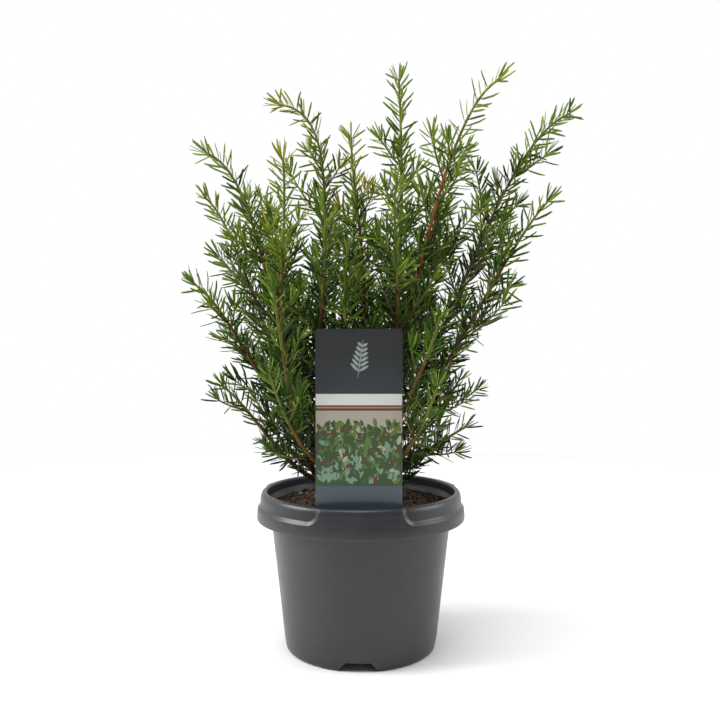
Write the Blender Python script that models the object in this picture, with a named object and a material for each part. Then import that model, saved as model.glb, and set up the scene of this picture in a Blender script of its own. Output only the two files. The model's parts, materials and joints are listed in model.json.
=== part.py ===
"""A hybrid yew in a round nursery pot, with the label that stands in its soil.

Metres, +Z up. The origin is the middle of the pot's flat underside, and the
front of the plant, where the label stands, faces -Y.

The plant grows by rule. A shoot is one smooth curve from its parent to its
tip. Its lower, bare stretch is a bough, and the rest is the stem of a mass of
needles, from which side twigs branch by a seeded rule. Stem and twigs are
slim cores that needles stand out of.
"""

import math
import random
from collections import namedtuple

import bmesh
import bpy
import numpy as np
from mathutils import Vector

# Clearance between touching pieces
GAP = 0.0003

# Pot: foot, wall and rim
WALL = 0.0016
FOOT_RADIUS = 0.0598
WALL_RADIUS_AT_GROUND = 0.0618
WALL_SLOPE = 0.1112
RIM_RADIUS = 0.08525
RIM_TOP = 0.1290
RIM_BOTTOM = 0.1065
MOUTH_RADIUS = 0.0773
SHOULDER = 0.1150
RECESS = 0.0021
PANEL_HALF_ANGLE = 27.6
REAR_RIM_ANGLE = 104.5
RIM_STEP_ANGLE = 2.2

# Pot: drain channels that open at the foot
CHANNELS = 4
CHANNEL_TURN = 268.0
CHANNEL_HEIGHT = 0.0070
CHANNEL_TOP_ANGLE = 8.8
CHANNEL_FOOT_ANGLE = 14.8
CHANNEL_START = 0.0270
HUB_RADIUS = 0.0180
SLOT_INNER = 0.0400
SLOT_OUTER = 0.0490
COLUMNS_BETWEEN_CHANNELS = 5

# Soil
SOIL_EDGE = 0.1175
SOIL_TOP = 0.1200
SOIL_FLAT_RADIUS = 0.0210
SOIL_LUMP = 0.0009

# Label
LABEL_CENTRE_X = -0.0015
LABEL_Y = -0.0660
LABEL_WIDTH = 0.0650
LABEL_THICK = 0.0006
LABEL_TOP = 0.2614
LABEL_SHOULDER = 0.1225
LABEL_CORNER = 0.0022
SPIKE_WIDTH = 0.0200
SPIKE_TIP = 0.0740

# Trunk: a short leaning stem from the soil to its fork
TRUNK_FOOT = Vector((-0.0040, 0.0040, SOIL_TOP + GAP))
TRUNK_FORK = Vector((0.0000, 0.0030, 0.1620))
TRUNK_FOOT_RADIUS = 0.0118
TRUNK_RADIUS = 0.0078
TRUNK_FORK_RADIUS = 0.0066
FLARE_HEIGHT = 0.0110
FLARE_LOBES = 3
FLARE_DEPTH = 0.13
TRUNK_SIDES = 10
TRUNK_RINGS = (0.0, 0.0022, 0.0055, FLARE_HEIGHT, 0.024, 0.034, 0.0402)
FORK_DOME = 0.0012
FORK_DOME_SHARE = 0.55

# Limbs
BOUGH_RADIUS = 0.0031
BOUGH_TIP_RADIUS = 0.0022
SIDE_BOUGH_RADIUS = 0.0023
BOUGH_SIDES = 6
BOUGH_SPANS = 4
STEM_RADIUS = 0.0021
STEM_TIP_RADIUS = 0.0011
STEM_SIDES = 3

# Needles, larger than life: they stand for all that grow on their stretch
NEEDLE_LENGTH = 0.0205
NEEDLE_TIP_LENGTH = 0.0150
NEEDLE_LEAN = 50.0
NEEDLE_TIP_LEAN = 26.0
NEEDLE_SPAN = 0.0125
NEEDLE_PROBES = 8

# Side twigs
TWIG_LEAVE = 44.0
TWIG_LIFT = 0.55
TWIG_SHARE = 0.36
TWIG_SHORTEST = 0.026
GOLDEN_ANGLE = 137.5

# Room that a mass keeps to its neighbours
ROOM_MARGIN = 0.0032
TWIG_ROOM = 0.0095
LIMB_ROOM = 0.0016

# One shoot. place is the height on the trunk, or the share of the parent's
# bough, where it leaves. leave and arrive are (azimuth, rise) in degrees at
# its foot and tip, and pulls the shares of its span that they hold for. bare
# is the length of its bough, with 0 for a mass that starts at the trunk.
# twigs is the number of side twigs and turn the way the first one faces.
Shoot = namedtuple("Shoot", "name parent place tip leave arrive pulls bare twigs turn")

SHOOTS = (
    Shoot("left_high", "trunk", 0.150, (-0.120, -0.035, 0.397),
          (184, 42), (182, 18), (0.36, 0.20), 0.052, 4, 200),
    Shoot("left_arch", "trunk", 0.138, (-0.133, -0.020, 0.297),
          (192, 26), (182, 26), (0.29, 0.16), 0.048, 3, 150),
    Shoot("left_low", "trunk", 0.129, (-0.108, -0.040, 0.218),
          (206, 10), (186, 40), (0.42, 0.34), 0.040, 3, 60),
    Shoot("top_left", "trunk", 0.157, (-0.071, 0.045, 0.454),
          (132, 34), (176, 3), (0.40, 0.27), 0.050, 5, 20),
    Shoot("top_centre", "trunk", 0.161, (0.031, 0.006, 0.465),
          (46, 66), (0, 93), (0.42, 0.23), 0.045, 4, 90),
    Shoot("top_right", "trunk", 0.151, (0.105, -0.045, 0.450),
          (342, 68), (350, 24), (0.28, 0.16), 0.060, 3, 250),
    Shoot("right_high", "trunk", 0.143, (0.177, 0.030, 0.443),
          (16, 52), (4, 21), (0.35, 0.19), 0.055, 5, 130),
    Shoot("right_arch", "trunk", 0.134, (0.145, -0.035, 0.360),
          (336, 50), (0, 45), (0.38, 0.16), 0.050, 4, 180),
    Shoot("front_label", "trunk", 0.147, (-0.010, -0.058, 0.320),
          (268, 42), (180, 96), (0.42, 0.35), 0.042, 2, 120),
    Shoot("back_centre", "trunk", 0.150, (-0.007, 0.146, 0.404),
          (94, 46), (92, 60), (0.40, 0.30), 0.048, 4, 30),
    Shoot("back_left", "trunk", 0.142, (-0.095, 0.122, 0.386),
          (128, 38), (136, 50), (0.40, 0.25), 0.048, 4, 140),
    Shoot("back_right", "trunk", 0.140, (0.083, 0.128, 0.375),
          (62, 38), (50, 62), (0.40, 0.25), 0.048, 4, 220),
    Shoot("left_mid", "left_high", 0.55, (-0.137, 0.058, 0.376),
          (136, 34), (174, 34), (0.40, 0.15), 0.020, 4, 180),
    Shoot("upright_left", "left_arch", 0.50, (-0.058, -0.060, 0.388),
          (230, 44), (190, 85), (0.45, 0.29), 0.018, 3, 100),
    Shoot("front_left", "left_low", 0.70, (-0.062, -0.098, 0.288),
          (254, 28), (225, 76), (0.43, 0.25), 0.018, 3, 240),
    Shoot("yellow_centre", "top_left", 0.45, (-0.008, 0.040, 0.425),
          (60, 50), (180, 92), (0.45, 0.20), 0.016, 3, 0),
    Shoot("front_centre", "front_label", 0.70, (0.026, -0.076, 0.368),
          (350, 52), (310, 74), (0.38, 0.20), 0.016, 3, 300),
    Shoot("right_twig", "top_right", 0.50, (0.092, 0.050, 0.417),
          (66, 46), (10, 44), (0.34, 0.14), 0.018, 3, 160),
    Shoot("right_low", "right_arch", 0.50, (0.084, 0.024, 0.218),
          (50, 4), (10, 57), (0.40, 0.28), 0.014, 2, 200),
    Shoot("front_upright", "front_label", 0.45, (-0.027, -0.082, 0.352),
          (200, 52), (230, 76), (0.40, 0.25), 0.016, 2, 60),
    Shoot("front_right", "right_arch", 0.62, (0.056, -0.092, 0.270),
          (275, 30), (320, 74), (0.42, 0.25), 0.016, 3, 290),
    Shoot("back_low", "back_centre", 0.55, (0.005, 0.162, 0.290),
          (44, 16), (90, 58), (0.40, 0.25), 0.016, 3, 60),
    Shoot("back_low_left", "back_left", 0.55, (-0.102, 0.108, 0.264),
          (186, 20), (142, 52), (0.40, 0.25), 0.016, 3, 160),
    Shoot("back_low_right", "back_right", 0.55, (0.098, 0.110, 0.271),
          (0, 20), (46, 56), (0.40, 0.25), 0.016, 3, 330),
    Shoot("left_inner", "trunk", 0.131, (-0.092, 0.045, 0.199),
          (158, 10), (160, 55), (0.45, 0.31), 0.0, 2, 90),
    Shoot("right_foot", "trunk", 0.1285, (0.083, -0.030, 0.184),
          (352, 30), (345, 24), (0.50, 0.13), 0.0, 3, 270),
    Shoot("right_skirt", "trunk", 0.1290, (0.066, 0.042, 0.156),
          (32, 32), (30, 6), (0.50, 0.30), 0.0, 2, 240),
    Shoot("front_low_left", "trunk", 0.136, (-0.064, -0.108, 0.230),
          (236, 16), (242, 58), (0.45, 0.28), 0.0, 3, 200),
    Shoot("front_low_right", "trunk", 0.140, (0.054, -0.104, 0.222),
          (302, 12), (298, 58), (0.45, 0.28), 0.0, 3, 320),
    Shoot("back_foot", "trunk", 0.1300, (0.004, 0.112, 0.192),
          (104, 18), (90, 46), (0.45, 0.28), 0.0, 3, 120),
)

SHOOT_SAMPLES = 61


def clear_scene():
    for old in list(bpy.data.objects):
        bpy.data.objects.remove(old, do_unlink=True)


def finish_material(name, colour, roughness, metallic=0.0):
    """A Principled material with one colour, for the piece of the same name."""
    material = bpy.data.materials.new(name)
    material.use_nodes = True
    shader = material.node_tree.nodes["Principled BSDF"]
    shader.inputs["Base Color"].default_value = (*colour, 1.0)
    shader.inputs["Roughness"].default_value = roughness
    shader.inputs["Metallic"].default_value = metallic
    material.diffuse_color = (*colour, 1.0)
    return material


def add_object(name, bm, colour, roughness):
    """Put a closed bmesh into the scene as one named piece."""
    bmesh.ops.recalc_face_normals(bm, faces=bm.faces)
    mesh = bpy.data.meshes.new(name)
    bm.to_mesh(mesh)
    bm.free()
    obj = bpy.data.objects.new(name, mesh)
    obj.data.materials.append(finish_material(name + "_finish", colour, roughness))
    bpy.context.scene.collection.objects.link(obj)
    return obj


def smoothen(obj, angle):
    obj.data.shade_smooth()
    obj.data.set_sharp_from_angle(angle=math.radians(angle))


def heading(azimuth, rise):
    """Unit vector from an azimuth in the ground plane and a rise above it."""
    around, up = math.radians(azimuth), math.radians(rise)
    return np.array([math.cos(around) * math.cos(up), math.sin(around) * math.cos(up), math.sin(up)])


# Pot


def wall_radius(height):
    return WALL_RADIUS_AT_GROUND + WALL_SLOPE * height


def pot_columns():
    """Angles of the pot's columns, with how far each is channel and proud rim."""
    angles = []
    quarter = 360.0 / CHANNELS
    free = quarter - 2 * CHANNEL_FOOT_ANGLE
    for channel in range(CHANNELS):
        centre = CHANNEL_TURN + quarter * channel
        for offset in (-CHANNEL_FOOT_ANGLE, -CHANNEL_TOP_ANGLE, CHANNEL_TOP_ANGLE, CHANNEL_FOOT_ANGLE):
            angles.append(((centre + offset) % 360.0, abs(offset) == CHANNEL_TOP_ANGLE))
        for step in range(1, COLUMNS_BETWEEN_CHANNELS + 1):
            offset = CHANNEL_FOOT_ANGLE + free * step / (COLUMNS_BETWEEN_CHANNELS + 1)
            angles.append(((centre + offset) % 360.0, False))
    for edge in (PANEL_HALF_ANGLE, PANEL_HALF_ANGLE + RIM_STEP_ANGLE,
                 REAR_RIM_ANGLE - RIM_STEP_ANGLE, REAR_RIM_ANGLE):
        angles.append((270.0 - edge, False))
        angles.append(((270.0 + edge) % 360.0, False))
    columns = []
    for angle, raised in sorted(angles):
        away = abs((angle - 270.0 + 180.0) % 360.0 - 180.0)
        proud = away <= PANEL_HALF_ANGLE + 0.01 or away >= REAR_RIM_ANGLE - 0.01
        columns.append((math.radians(angle), 1.0 if raised else 0.0, 1.0 if proud else 0.0))
    return columns


def pot_profile(raised, proud):
    """Radius and height of the pot's section, from under its middle round to its floor."""
    lift = CHANNEL_HEIGHT * raised
    step = RECESS * (1.0 - proud)
    foot = FOOT_RADIUS + 0.0018 * raised
    low_wall = 0.0090
    return [
        (HUB_RADIUS, 0.0),
        (CHANNEL_START, lift),
        (SLOT_INNER, lift),
        (SLOT_OUTER, lift),
        (foot, lift),
        (0.0616 + 0.0009 * raised, 0.0018 + 0.0058 * raised),
        (wall_radius(low_wall), low_wall),
        (wall_radius(RIM_BOTTOM), RIM_BOTTOM),
        (wall_radius(SHOULDER), SHOULDER),
        (0.0784, 0.1210),
        (0.0787, 0.1262),
        (0.0824 - step, 0.1262),
        (0.0831 - step, SHOULDER),
        (RIM_RADIUS - WALL, 0.1080),
        (RIM_RADIUS - WALL + 0.0003, RIM_BOTTOM),
        (RIM_RADIUS - 0.0003, RIM_BOTTOM),
        (RIM_RADIUS, 0.1080),
        (0.0850 - 0.6 * step, 0.1125),
        (0.0847 - step, 0.1155),
        (0.0837 - step, 0.1255),
        (0.0826 - step, 0.1283),
        (0.0812 - step, RIM_TOP),
        (MOUTH_RADIUS, RIM_TOP),
        (MOUTH_RADIUS - 0.0005, 0.1276),
        (0.0768, 0.1215),
        (wall_radius(SHOULDER) - WALL, SHOULDER),
        (wall_radius(low_wall) - WALL, low_wall + 0.0006),
        (FOOT_RADIUS - 0.0006, lift + WALL),
        (SLOT_OUTER, lift + WALL),
        (SLOT_INNER, lift + WALL),
        (CHANNEL_START, lift + WALL),
        (HUB_RADIUS, WALL),
    ]


def turned_grid(bm, columns, profile):
    """Rings of vertices, one ring for each profile point, around the z axis."""
    sections = [profile(raised, proud) for _, raised, proud in columns]
    rings = []
    for row in range(len(sections[0])):
        ring = []
        for (angle, _, _), section in zip(columns, sections):
            radius, height = section[row]
            ring.append(bm.verts.new((radius * math.cos(angle), radius * math.sin(angle), height)))
        rings.append(ring)
    return rings


def skin(bm, rings, skipped=(), halved=False):
    """Faces between neighbouring rings, without the skipped (row, column) cells.

    halved cuts each face along the same diagonal, so two skins of one shape match.
    """
    count = len(rings[0])
    for row in range(len(rings) - 1):
        for column in range(count):
            if (row, column) in skipped:
                continue
            after = (column + 1) % count
            near, near_next = rings[row][column], rings[row][after]
            far, far_next = rings[row + 1][column], rings[row + 1][after]
            if halved:
                bm.faces.new((near, near_next, far_next))
                bm.faces.new((near, far_next, far))
            else:
                bm.faces.new((near, near_next, far_next, far))


def close_disc(bm, ring, height):
    """A fan from a ring to a point on the axis."""
    centre = bm.verts.new((0.0, 0.0, height))
    for column, vertex in enumerate(ring):
        bm.faces.new((vertex, ring[(column + 1) % len(ring)], centre))


def make_pot():
    columns = pot_columns()
    bm = bmesh.new()
    rings = turned_grid(bm, columns, pot_profile)
    slots = [c for c in range(len(columns)) if columns[c][1] and columns[(c + 1) % len(columns)][1]]
    under = (2, 3)
    floor = (len(rings) - 3, len(rings) - 4)
    skipped = {(under[0], c) for c in slots} | {(floor[1], c) for c in slots}
    skin(bm, rings, skipped, halved=True)
    close_disc(bm, rings[0], 0.0)
    close_disc(bm, rings[-1], WALL)
    for column in slots:
        after = (column + 1) % len(columns)
        corners = ((under[0], floor[0], column), (under[0], floor[0], after),
                   (under[1], floor[1], after), (under[1], floor[1], column))
        for (low_a, high_a, at_a), (low_b, high_b, at_b) in zip(corners, corners[1:] + corners[:1]):
            bm.faces.new((rings[low_a][at_a], rings[low_b][at_b], rings[high_b][at_b], rings[high_a][at_a]))
    pot = add_object("pot", bm, (0.054, 0.056, 0.062), 0.48)
    smoothen(pot, 35)
    return pot


# Soil


def soil_profile(raised, _proud):
    """The soil's section, from its top down: it lies in the pot with a hair's gap."""
    floor = CHANNEL_HEIGHT * raised + WALL + GAP
    edge_share = (SOIL_EDGE - SHOULDER) / (0.1215 - SHOULDER)
    shoulder = wall_radius(SHOULDER) - WALL
    edge = shoulder + (0.0768 - shoulder) * edge_share - 2 * GAP
    return [
        (SOIL_FLAT_RADIUS, SOIL_TOP),
        (0.0400, 0.1195),
        (0.0600, 0.1187),
        (edge, SOIL_EDGE),
        (shoulder - GAP, SHOULDER + GAP),
        (wall_radius(0.0090) - WALL - GAP, 0.0100),
        (FOOT_RADIUS - 0.0006 - GAP, floor),
        (SLOT_OUTER, floor),
        (SLOT_INNER, floor),
        (CHANNEL_START, floor),
        (HUB_RADIUS, WALL + GAP),
    ]


def make_soil():
    columns = pot_columns()
    bm = bmesh.new()
    rings = turned_grid(bm, columns, soil_profile)
    rng = random.Random(11)
    for ring in rings[1:3]:
        for vertex in ring:
            vertex.co.z += rng.uniform(-SOIL_LUMP, 0.4 * SOIL_LUMP)
    skin(bm, rings, halved=True)
    close_disc(bm, rings[0], SOIL_TOP)
    close_disc(bm, rings[-1], WALL + GAP)
    soil = add_object("soil", bm, (0.032, 0.019, 0.013), 0.95)
    cut_label_slot(soil)
    return soil


def cut_label_slot(soil):
    """The slit that the label's spike has pressed into the soil."""
    deep = SPIKE_TIP - 0.0010
    bm = bmesh.new()
    bmesh.ops.create_cube(bm, size=1.0)
    size = Vector((SPIKE_WIDTH + 0.0012, LABEL_THICK + 2 * GAP, SOIL_TOP + 0.01 - deep))
    centre = Vector((LABEL_CENTRE_X, LABEL_Y, deep + size.z / 2))
    for vertex in bm.verts:
        vertex.co = Vector((vertex.co.x * size.x, vertex.co.y * size.y, vertex.co.z * size.z)) + centre
    cutter = add_object("label_slot_cutter", bm, (0.5, 0.5, 0.5), 0.5)
    cutter.hide_render = True
    cutter.display_type = "WIRE"
    cut = soil.modifiers.new("label slot", "BOOLEAN")
    cut.operation = "DIFFERENCE"
    cut.object = cutter


# Label


def label_outline():
    """Points of the label's face: rounded plate, shoulders and pointed spike."""
    half = LABEL_WIDTH / 2
    points = []
    for side, first, last in ((1, 0, 90), (-1, 90, 180)):
        centre_x = side * (half - LABEL_CORNER)
        for step in range(4):
            angle = math.radians(first + (last - first) * step / 3)
            points.append((centre_x + LABEL_CORNER * math.cos(angle),
                           LABEL_TOP - LABEL_CORNER + LABEL_CORNER * math.sin(angle)))
    points += [
        (-half, LABEL_SHOULDER + 0.004),
        (-half + 0.004, LABEL_SHOULDER),
        (-SPIKE_WIDTH / 2, LABEL_SHOULDER),
        (-SPIKE_WIDTH / 2, SPIKE_TIP + 0.018),
        (0.0, SPIKE_TIP),
        (SPIKE_WIDTH / 2, SPIKE_TIP + 0.018),
        (SPIKE_WIDTH / 2, LABEL_SHOULDER),
        (half - 0.004, LABEL_SHOULDER),
        (half, LABEL_SHOULDER + 0.004),
    ]
    return points


def make_label():
    bm = bmesh.new()
    front = [bm.verts.new((LABEL_CENTRE_X + x, LABEL_Y - LABEL_THICK / 2, z)) for x, z in label_outline()]
    face = bm.faces.new(front)
    extruded = bmesh.ops.extrude_face_region(bm, geom=[face])
    back = [item for item in extruded["geom"] if isinstance(item, bmesh.types.BMVert)]
    bmesh.ops.translate(bm, verts=back, vec=(0.0, LABEL_THICK, 0.0))
    return add_object("label", bm, (0.050, 0.058, 0.066), 0.35)


# Limbs


def frames_along(path):
    """Two cross directions at each point of a path, carried along without twist."""
    tangents = np.gradient(path, axis=0)
    tangents /= np.linalg.norm(tangents, axis=1)[:, None]
    start = np.cross(tangents[0], (0.0, 0.0, 1.0))
    if np.linalg.norm(start) < 0.05:
        start = np.array([1.0, 0.0, 0.0])
    across = [start / np.linalg.norm(start)]
    for tangent in tangents[1:]:
        side = across[-1] - tangent * np.dot(across[-1], tangent)
        across.append(side / np.linalg.norm(side))
    across = np.array(across)
    return tangents, across, np.cross(tangents, across)


def tube_rings(bm, path, radii, sides, first_facing=None):
    """Rings round a path. first_facing turns the first ring flat to its parent."""
    _, across, over = frames_along(path)
    rings = []
    for at, point in enumerate(path):
        ring = []
        for side in range(sides):
            angle = 2 * math.pi * side / sides
            offset = radii[at] * (math.cos(angle) * across[at] + math.sin(angle) * over[at])
            if at == 0 and first_facing is not None:
                offset = offset - first_facing * np.dot(offset, first_facing)
            ring.append(bm.verts.new(point + offset))
        rings.append(ring)
    return rings


def capped_tube(bm, rings):
    skin(bm, rings)
    bm.faces.new(list(reversed(rings[0])))
    bm.faces.new(rings[-1])


def trunk_centre(height):
    share = (height - TRUNK_FOOT.z) / (TRUNK_FORK.z - TRUNK_FOOT.z)
    return np.array(TRUNK_FOOT.lerp(TRUNK_FORK, share))


def trunk_radius(height):
    """Flared at the foot, then an even taper to the fork."""
    up = height - TRUNK_FOOT.z
    share = up / (TRUNK_FORK.z - TRUNK_FOOT.z)
    taper = TRUNK_RADIUS + (TRUNK_FORK_RADIUS - TRUNK_RADIUS) * share
    flare = (TRUNK_FOOT_RADIUS - TRUNK_RADIUS) * max(0.0, 1.0 - up / FLARE_HEIGHT) ** 2
    return taper + flare


def lobe_fade(height):
    """How strongly the root lobes show at a height: 1 at the soil, 0 above the flare."""
    return max(0.0, 1.0 - (height - TRUNK_FOOT.z) / FLARE_HEIGHT)


def trunk_section(height, thinner=1.0):
    """Corners of the trunk's section: a circle swollen into root lobes at the foot."""
    lean = np.array((TRUNK_FORK - TRUNK_FOOT).normalized())
    across = np.cross(lean, (0.0, 0.0, 1.0))
    across /= np.linalg.norm(across)
    over = np.cross(lean, across)
    angles = np.arange(TRUNK_SIDES) * 2 * math.pi / TRUNK_SIDES
    lobes = 1.0 + FLARE_DEPTH * lobe_fade(height) * np.cos(FLARE_LOBES * angles)
    radii = thinner * trunk_radius(height) * lobes
    offsets = np.cos(angles)[:, None] * across + np.sin(angles)[:, None] * over
    return trunk_centre(height) + radii[:, None] * offsets


def trunk_reach(height, outward, half_width):
    """How far the trunk stands out along a direction, over a limb's width."""
    corners = trunk_section(height) - trunk_centre(height)
    following = np.roll(corners, -1, axis=0)
    shares = np.linspace(0.0, 1.0, 9)[:, None, None]
    edge_points = (corners + (following - corners) * shares).reshape(-1, 3)
    aside = np.abs(edge_points @ np.cross(outward, (0.0, 0.0, 1.0)))
    forward = edge_points @ outward
    return forward[(aside < half_width) & (forward > 0.0)].max()


def make_trunk():
    heights = [TRUNK_FOOT.z + up for up in TRUNK_RINGS]
    bm = bmesh.new()
    rings = [[bm.verts.new(corner) for corner in trunk_section(height)] for height in heights]
    crown = trunk_section(TRUNK_FORK.z + FORK_DOME, FORK_DOME_SHARE)
    rings.append([bm.verts.new(corner) for corner in crown])
    for vertex in rings[0]:
        vertex.co.z = TRUNK_FOOT.z
    capped_tube(bm, rings)
    trunk = add_object("trunk", bm, (0.115, 0.066, 0.040), 0.85)
    smoothen(trunk, 50)
    return trunk


# Shoots


def path_length(path):
    return np.r_[0.0, np.cumsum(np.linalg.norm(np.diff(path, axis=0), axis=1))]


def path_points(path, distances):
    """Points at given distances along a path."""
    along = path_length(path)
    return np.stack([np.interp(distances, along, path[:, axis]) for axis in range(3)], axis=1)


def cubic(start, leave, arrive, pulls, tip, samples=SHOOT_SAMPLES):
    """A cubic curve from start to tip that leaves and arrives along two headings."""
    span = np.linalg.norm(tip - start)
    first = start + leave * span * pulls[0]
    last = tip - arrive * span * pulls[1]
    t = np.linspace(0.0, 1.0, samples)[:, None]
    return (1 - t) ** 3 * start + 3 * (1 - t) ** 2 * t * first + 3 * (1 - t) * t ** 2 * last + t ** 3 * tip


def shoot_start(shoot, boughs):
    """Where a shoot leaves its parent, and the outward direction there."""
    if shoot.parent == "trunk":
        outward = heading(shoot.leave[0], 0.0)
        thick = BOUGH_RADIUS if shoot.bare else STEM_RADIUS
        reach = trunk_reach(shoot.place - thick, outward, thick) + GAP
        return trunk_centre(shoot.place) + outward * reach, outward
    path, radii = boughs[shoot.parent]
    distance = path_length(path)[-1] * shoot.place
    here, ahead = path_points(path, [distance, distance + 0.001])
    tangent = (ahead - here) / np.linalg.norm(ahead - here)
    outward = heading(*shoot.leave)
    outward = outward - tangent * np.dot(outward, tangent)
    outward /= np.linalg.norm(outward)
    radius = np.interp(distance, path_length(path), radii)
    return here + outward * (radius + GAP), outward


def grow_shoots():
    """Bough path, leafy stem path and facing of every shoot, parents first."""
    boughs, stems, facings = {}, {}, {}
    for shoot in SHOOTS:
        start, outward = shoot_start(shoot, boughs)
        path = cubic(start, heading(*shoot.leave), heading(*shoot.arrive), shoot.pulls, np.array(shoot.tip))
        whole = path_length(path)[-1]
        if shoot.bare:
            spots = np.linspace(0.0, shoot.bare, BOUGH_SPANS + 1)
            thick = BOUGH_RADIUS if shoot.parent == "trunk" else SIDE_BOUGH_RADIUS
            radii = np.linspace(thick, BOUGH_TIP_RADIUS if thick == BOUGH_RADIUS else STEM_RADIUS, len(spots))
            boughs[shoot.name] = (path_points(path, spots), radii)
            stems[shoot.name] = path_points(path, np.linspace(shoot.bare + GAP, whole, SHOOT_SAMPLES))
        else:
            stems[shoot.name] = path
        facings[shoot.name] = outward
    return boughs, stems, facings


def stem_radius(share):
    return STEM_RADIUS + (STEM_TIP_RADIUS - STEM_RADIUS) * share


def twig_path(stem, share, turn, length):
    """A side twig: it leaves at an angle, then lifts towards the light."""
    along = path_length(stem)
    here, ahead = path_points(stem, [along[-1] * share, along[-1] * share + 0.002])
    tangent = (ahead - here) / np.linalg.norm(ahead - here)
    outward = np.cross(np.cross(tangent, (here[0], here[1], 0.001)), tangent)
    outward /= np.linalg.norm(outward)
    sideways = np.cross(tangent, outward)
    facing = math.cos(turn) * outward + math.sin(turn) * sideways
    lean = math.radians(TWIG_LEAVE)
    leave = math.cos(lean) * tangent + math.sin(lean) * facing
    arrive = leave + TWIG_LIFT * np.array([0.0, 0.0, 1.0])
    arrive /= np.linalg.norm(arrive)
    middle = leave + arrive
    tip = here + middle / np.linalg.norm(middle) * length
    return cubic(here, leave, arrive, (0.35, 0.35), tip, 21)


def nearest(points, cloud):
    """Distance from each point to the nearest point of a cloud."""
    return np.sqrt(((points[:, None, :] - cloud[None, :, :]) ** 2).sum(axis=2)).min(axis=1)


def clear_of_things(points, room):
    """True for points that keep clear of pot, soil, label and ground."""
    x, y, z = points.T
    radius = np.hypot(x, y)
    over_soil = z > SOIL_TOP + 0.0016 + room
    off_rim = (radius < MOUTH_RADIUS - 0.004 - room) | (z > RIM_TOP + 0.0016 + room)
    beside_label = (np.abs(x - LABEL_CENTRE_X) > LABEL_WIDTH / 2 + 0.002 + room) | \
                   (np.abs(y - LABEL_Y) > 0.0022 + room) | (z > LABEL_TOP + 0.002 + room)
    return over_soil & off_rim & beside_label


def clear_of_trunk(points):
    """True where all points keep clear of the trunk."""
    for x, y, z in points:
        if z < TRUNK_FORK.z + 0.004:
            centre = trunk_centre(z)
            if math.hypot(x - centre[0], y - centre[1]) < trunk_radius(z) + LIMB_ROOM:
                return False
    return True


def grow_twigs(boughs, stems):
    """Side twigs of every mass. A twig without room is skipped."""
    limb_points = np.concatenate([path_points(path, np.linspace(0, path_length(path)[-1], 16))
                                  for path, _ in boughs.values()]
                                 + [np.array([trunk_centre(z) for z in np.linspace(0.12, 0.162, 12)])])
    twigs = {shoot.name: [] for shoot in SHOOTS}
    for shoot in SHOOTS:
        rng = random.Random(shoot.name)
        stem = stems[shoot.name]
        whole = path_length(stem)[-1]
        for count in range(shoot.twigs):
            share = 0.16 + 0.62 * (count + rng.uniform(0.2, 0.8)) / shoot.twigs
            turn = math.radians(shoot.turn + GOLDEN_ANGLE * count)
            length = max(TWIG_SHORTEST, whole * (TWIG_SHARE - 0.24 * share) * rng.uniform(0.85, 1.15))
            twig = twig_path(stem, share, turn, length)
            outer = twig[6:]
            others = [stems[name] for name in stems if name != shoot.name]
            others += [twig for name, grown in twigs.items() for twig in grown]
            if nearest(outer, np.concatenate(others)).min() < TWIG_ROOM:
                continue
            if nearest(outer, limb_points).min() < TWIG_ROOM:
                continue
            if not clear_of_things(outer, 0.004).all():
                continue
            twigs[shoot.name].append(twig)
    return twigs, limb_points


# Masses of needles


def spiky_core(path, radii, bare_spans, room_for, facing=None):
    """A three-sided core whose every face is drawn out into a needle.

    Each face is poked, and the new point is moved outwards and forwards to the
    needle's tip, so a needle is a slim pyramid that grows out of the core.
    """
    bm = bmesh.new()
    tangents, _, _ = frames_along(path)
    rings = tube_rings(bm, path, radii, STEM_SIDES, first_facing=facing)
    capped_tube(bm, rings)
    bmesh.ops.recalc_face_normals(bm, faces=bm.faces)
    bmesh.ops.triangulate(bm, faces=bm.faces)
    spans = len(path) - 1
    needles = []
    for face in bm.faces:
        centre = np.array(face.calc_center_median())
        at = int(np.argmin(np.linalg.norm(path - centre, axis=1)))
        share = at / spans
        normal = np.array(face.normal)
        tangent = tangents[min(at, spans)]
        if np.dot(normal, tangent) < -0.5 or share * spans < bare_spans:
            continue
        if abs(np.dot(normal, tangent)) > 0.9:
            direction, length = tangent, NEEDLE_TIP_LENGTH
        else:
            away = normal - tangent * np.dot(normal, tangent)
            away /= np.linalg.norm(away)
            blend = max(0.0, (share - 0.75) / 0.25)
            lean = math.radians(NEEDLE_LEAN + (NEEDLE_TIP_LEAN - NEEDLE_LEAN) * blend)
            length = NEEDLE_LENGTH + (NEEDLE_TIP_LENGTH - NEEDLE_LENGTH) * blend
            direction = math.cos(lean) * tangent + math.sin(lean) * away
        reach = centre + direction * length * np.linspace(0.2, 1.0, NEEDLE_PROBES)[:, None]
        if room_for(reach):
            needles.append((face, Vector(reach[-1])))
    for face, tip in needles:
        poked = bmesh.ops.poke(bm, faces=[face])
        poked["verts"][0].co = tip
    return bm


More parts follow.
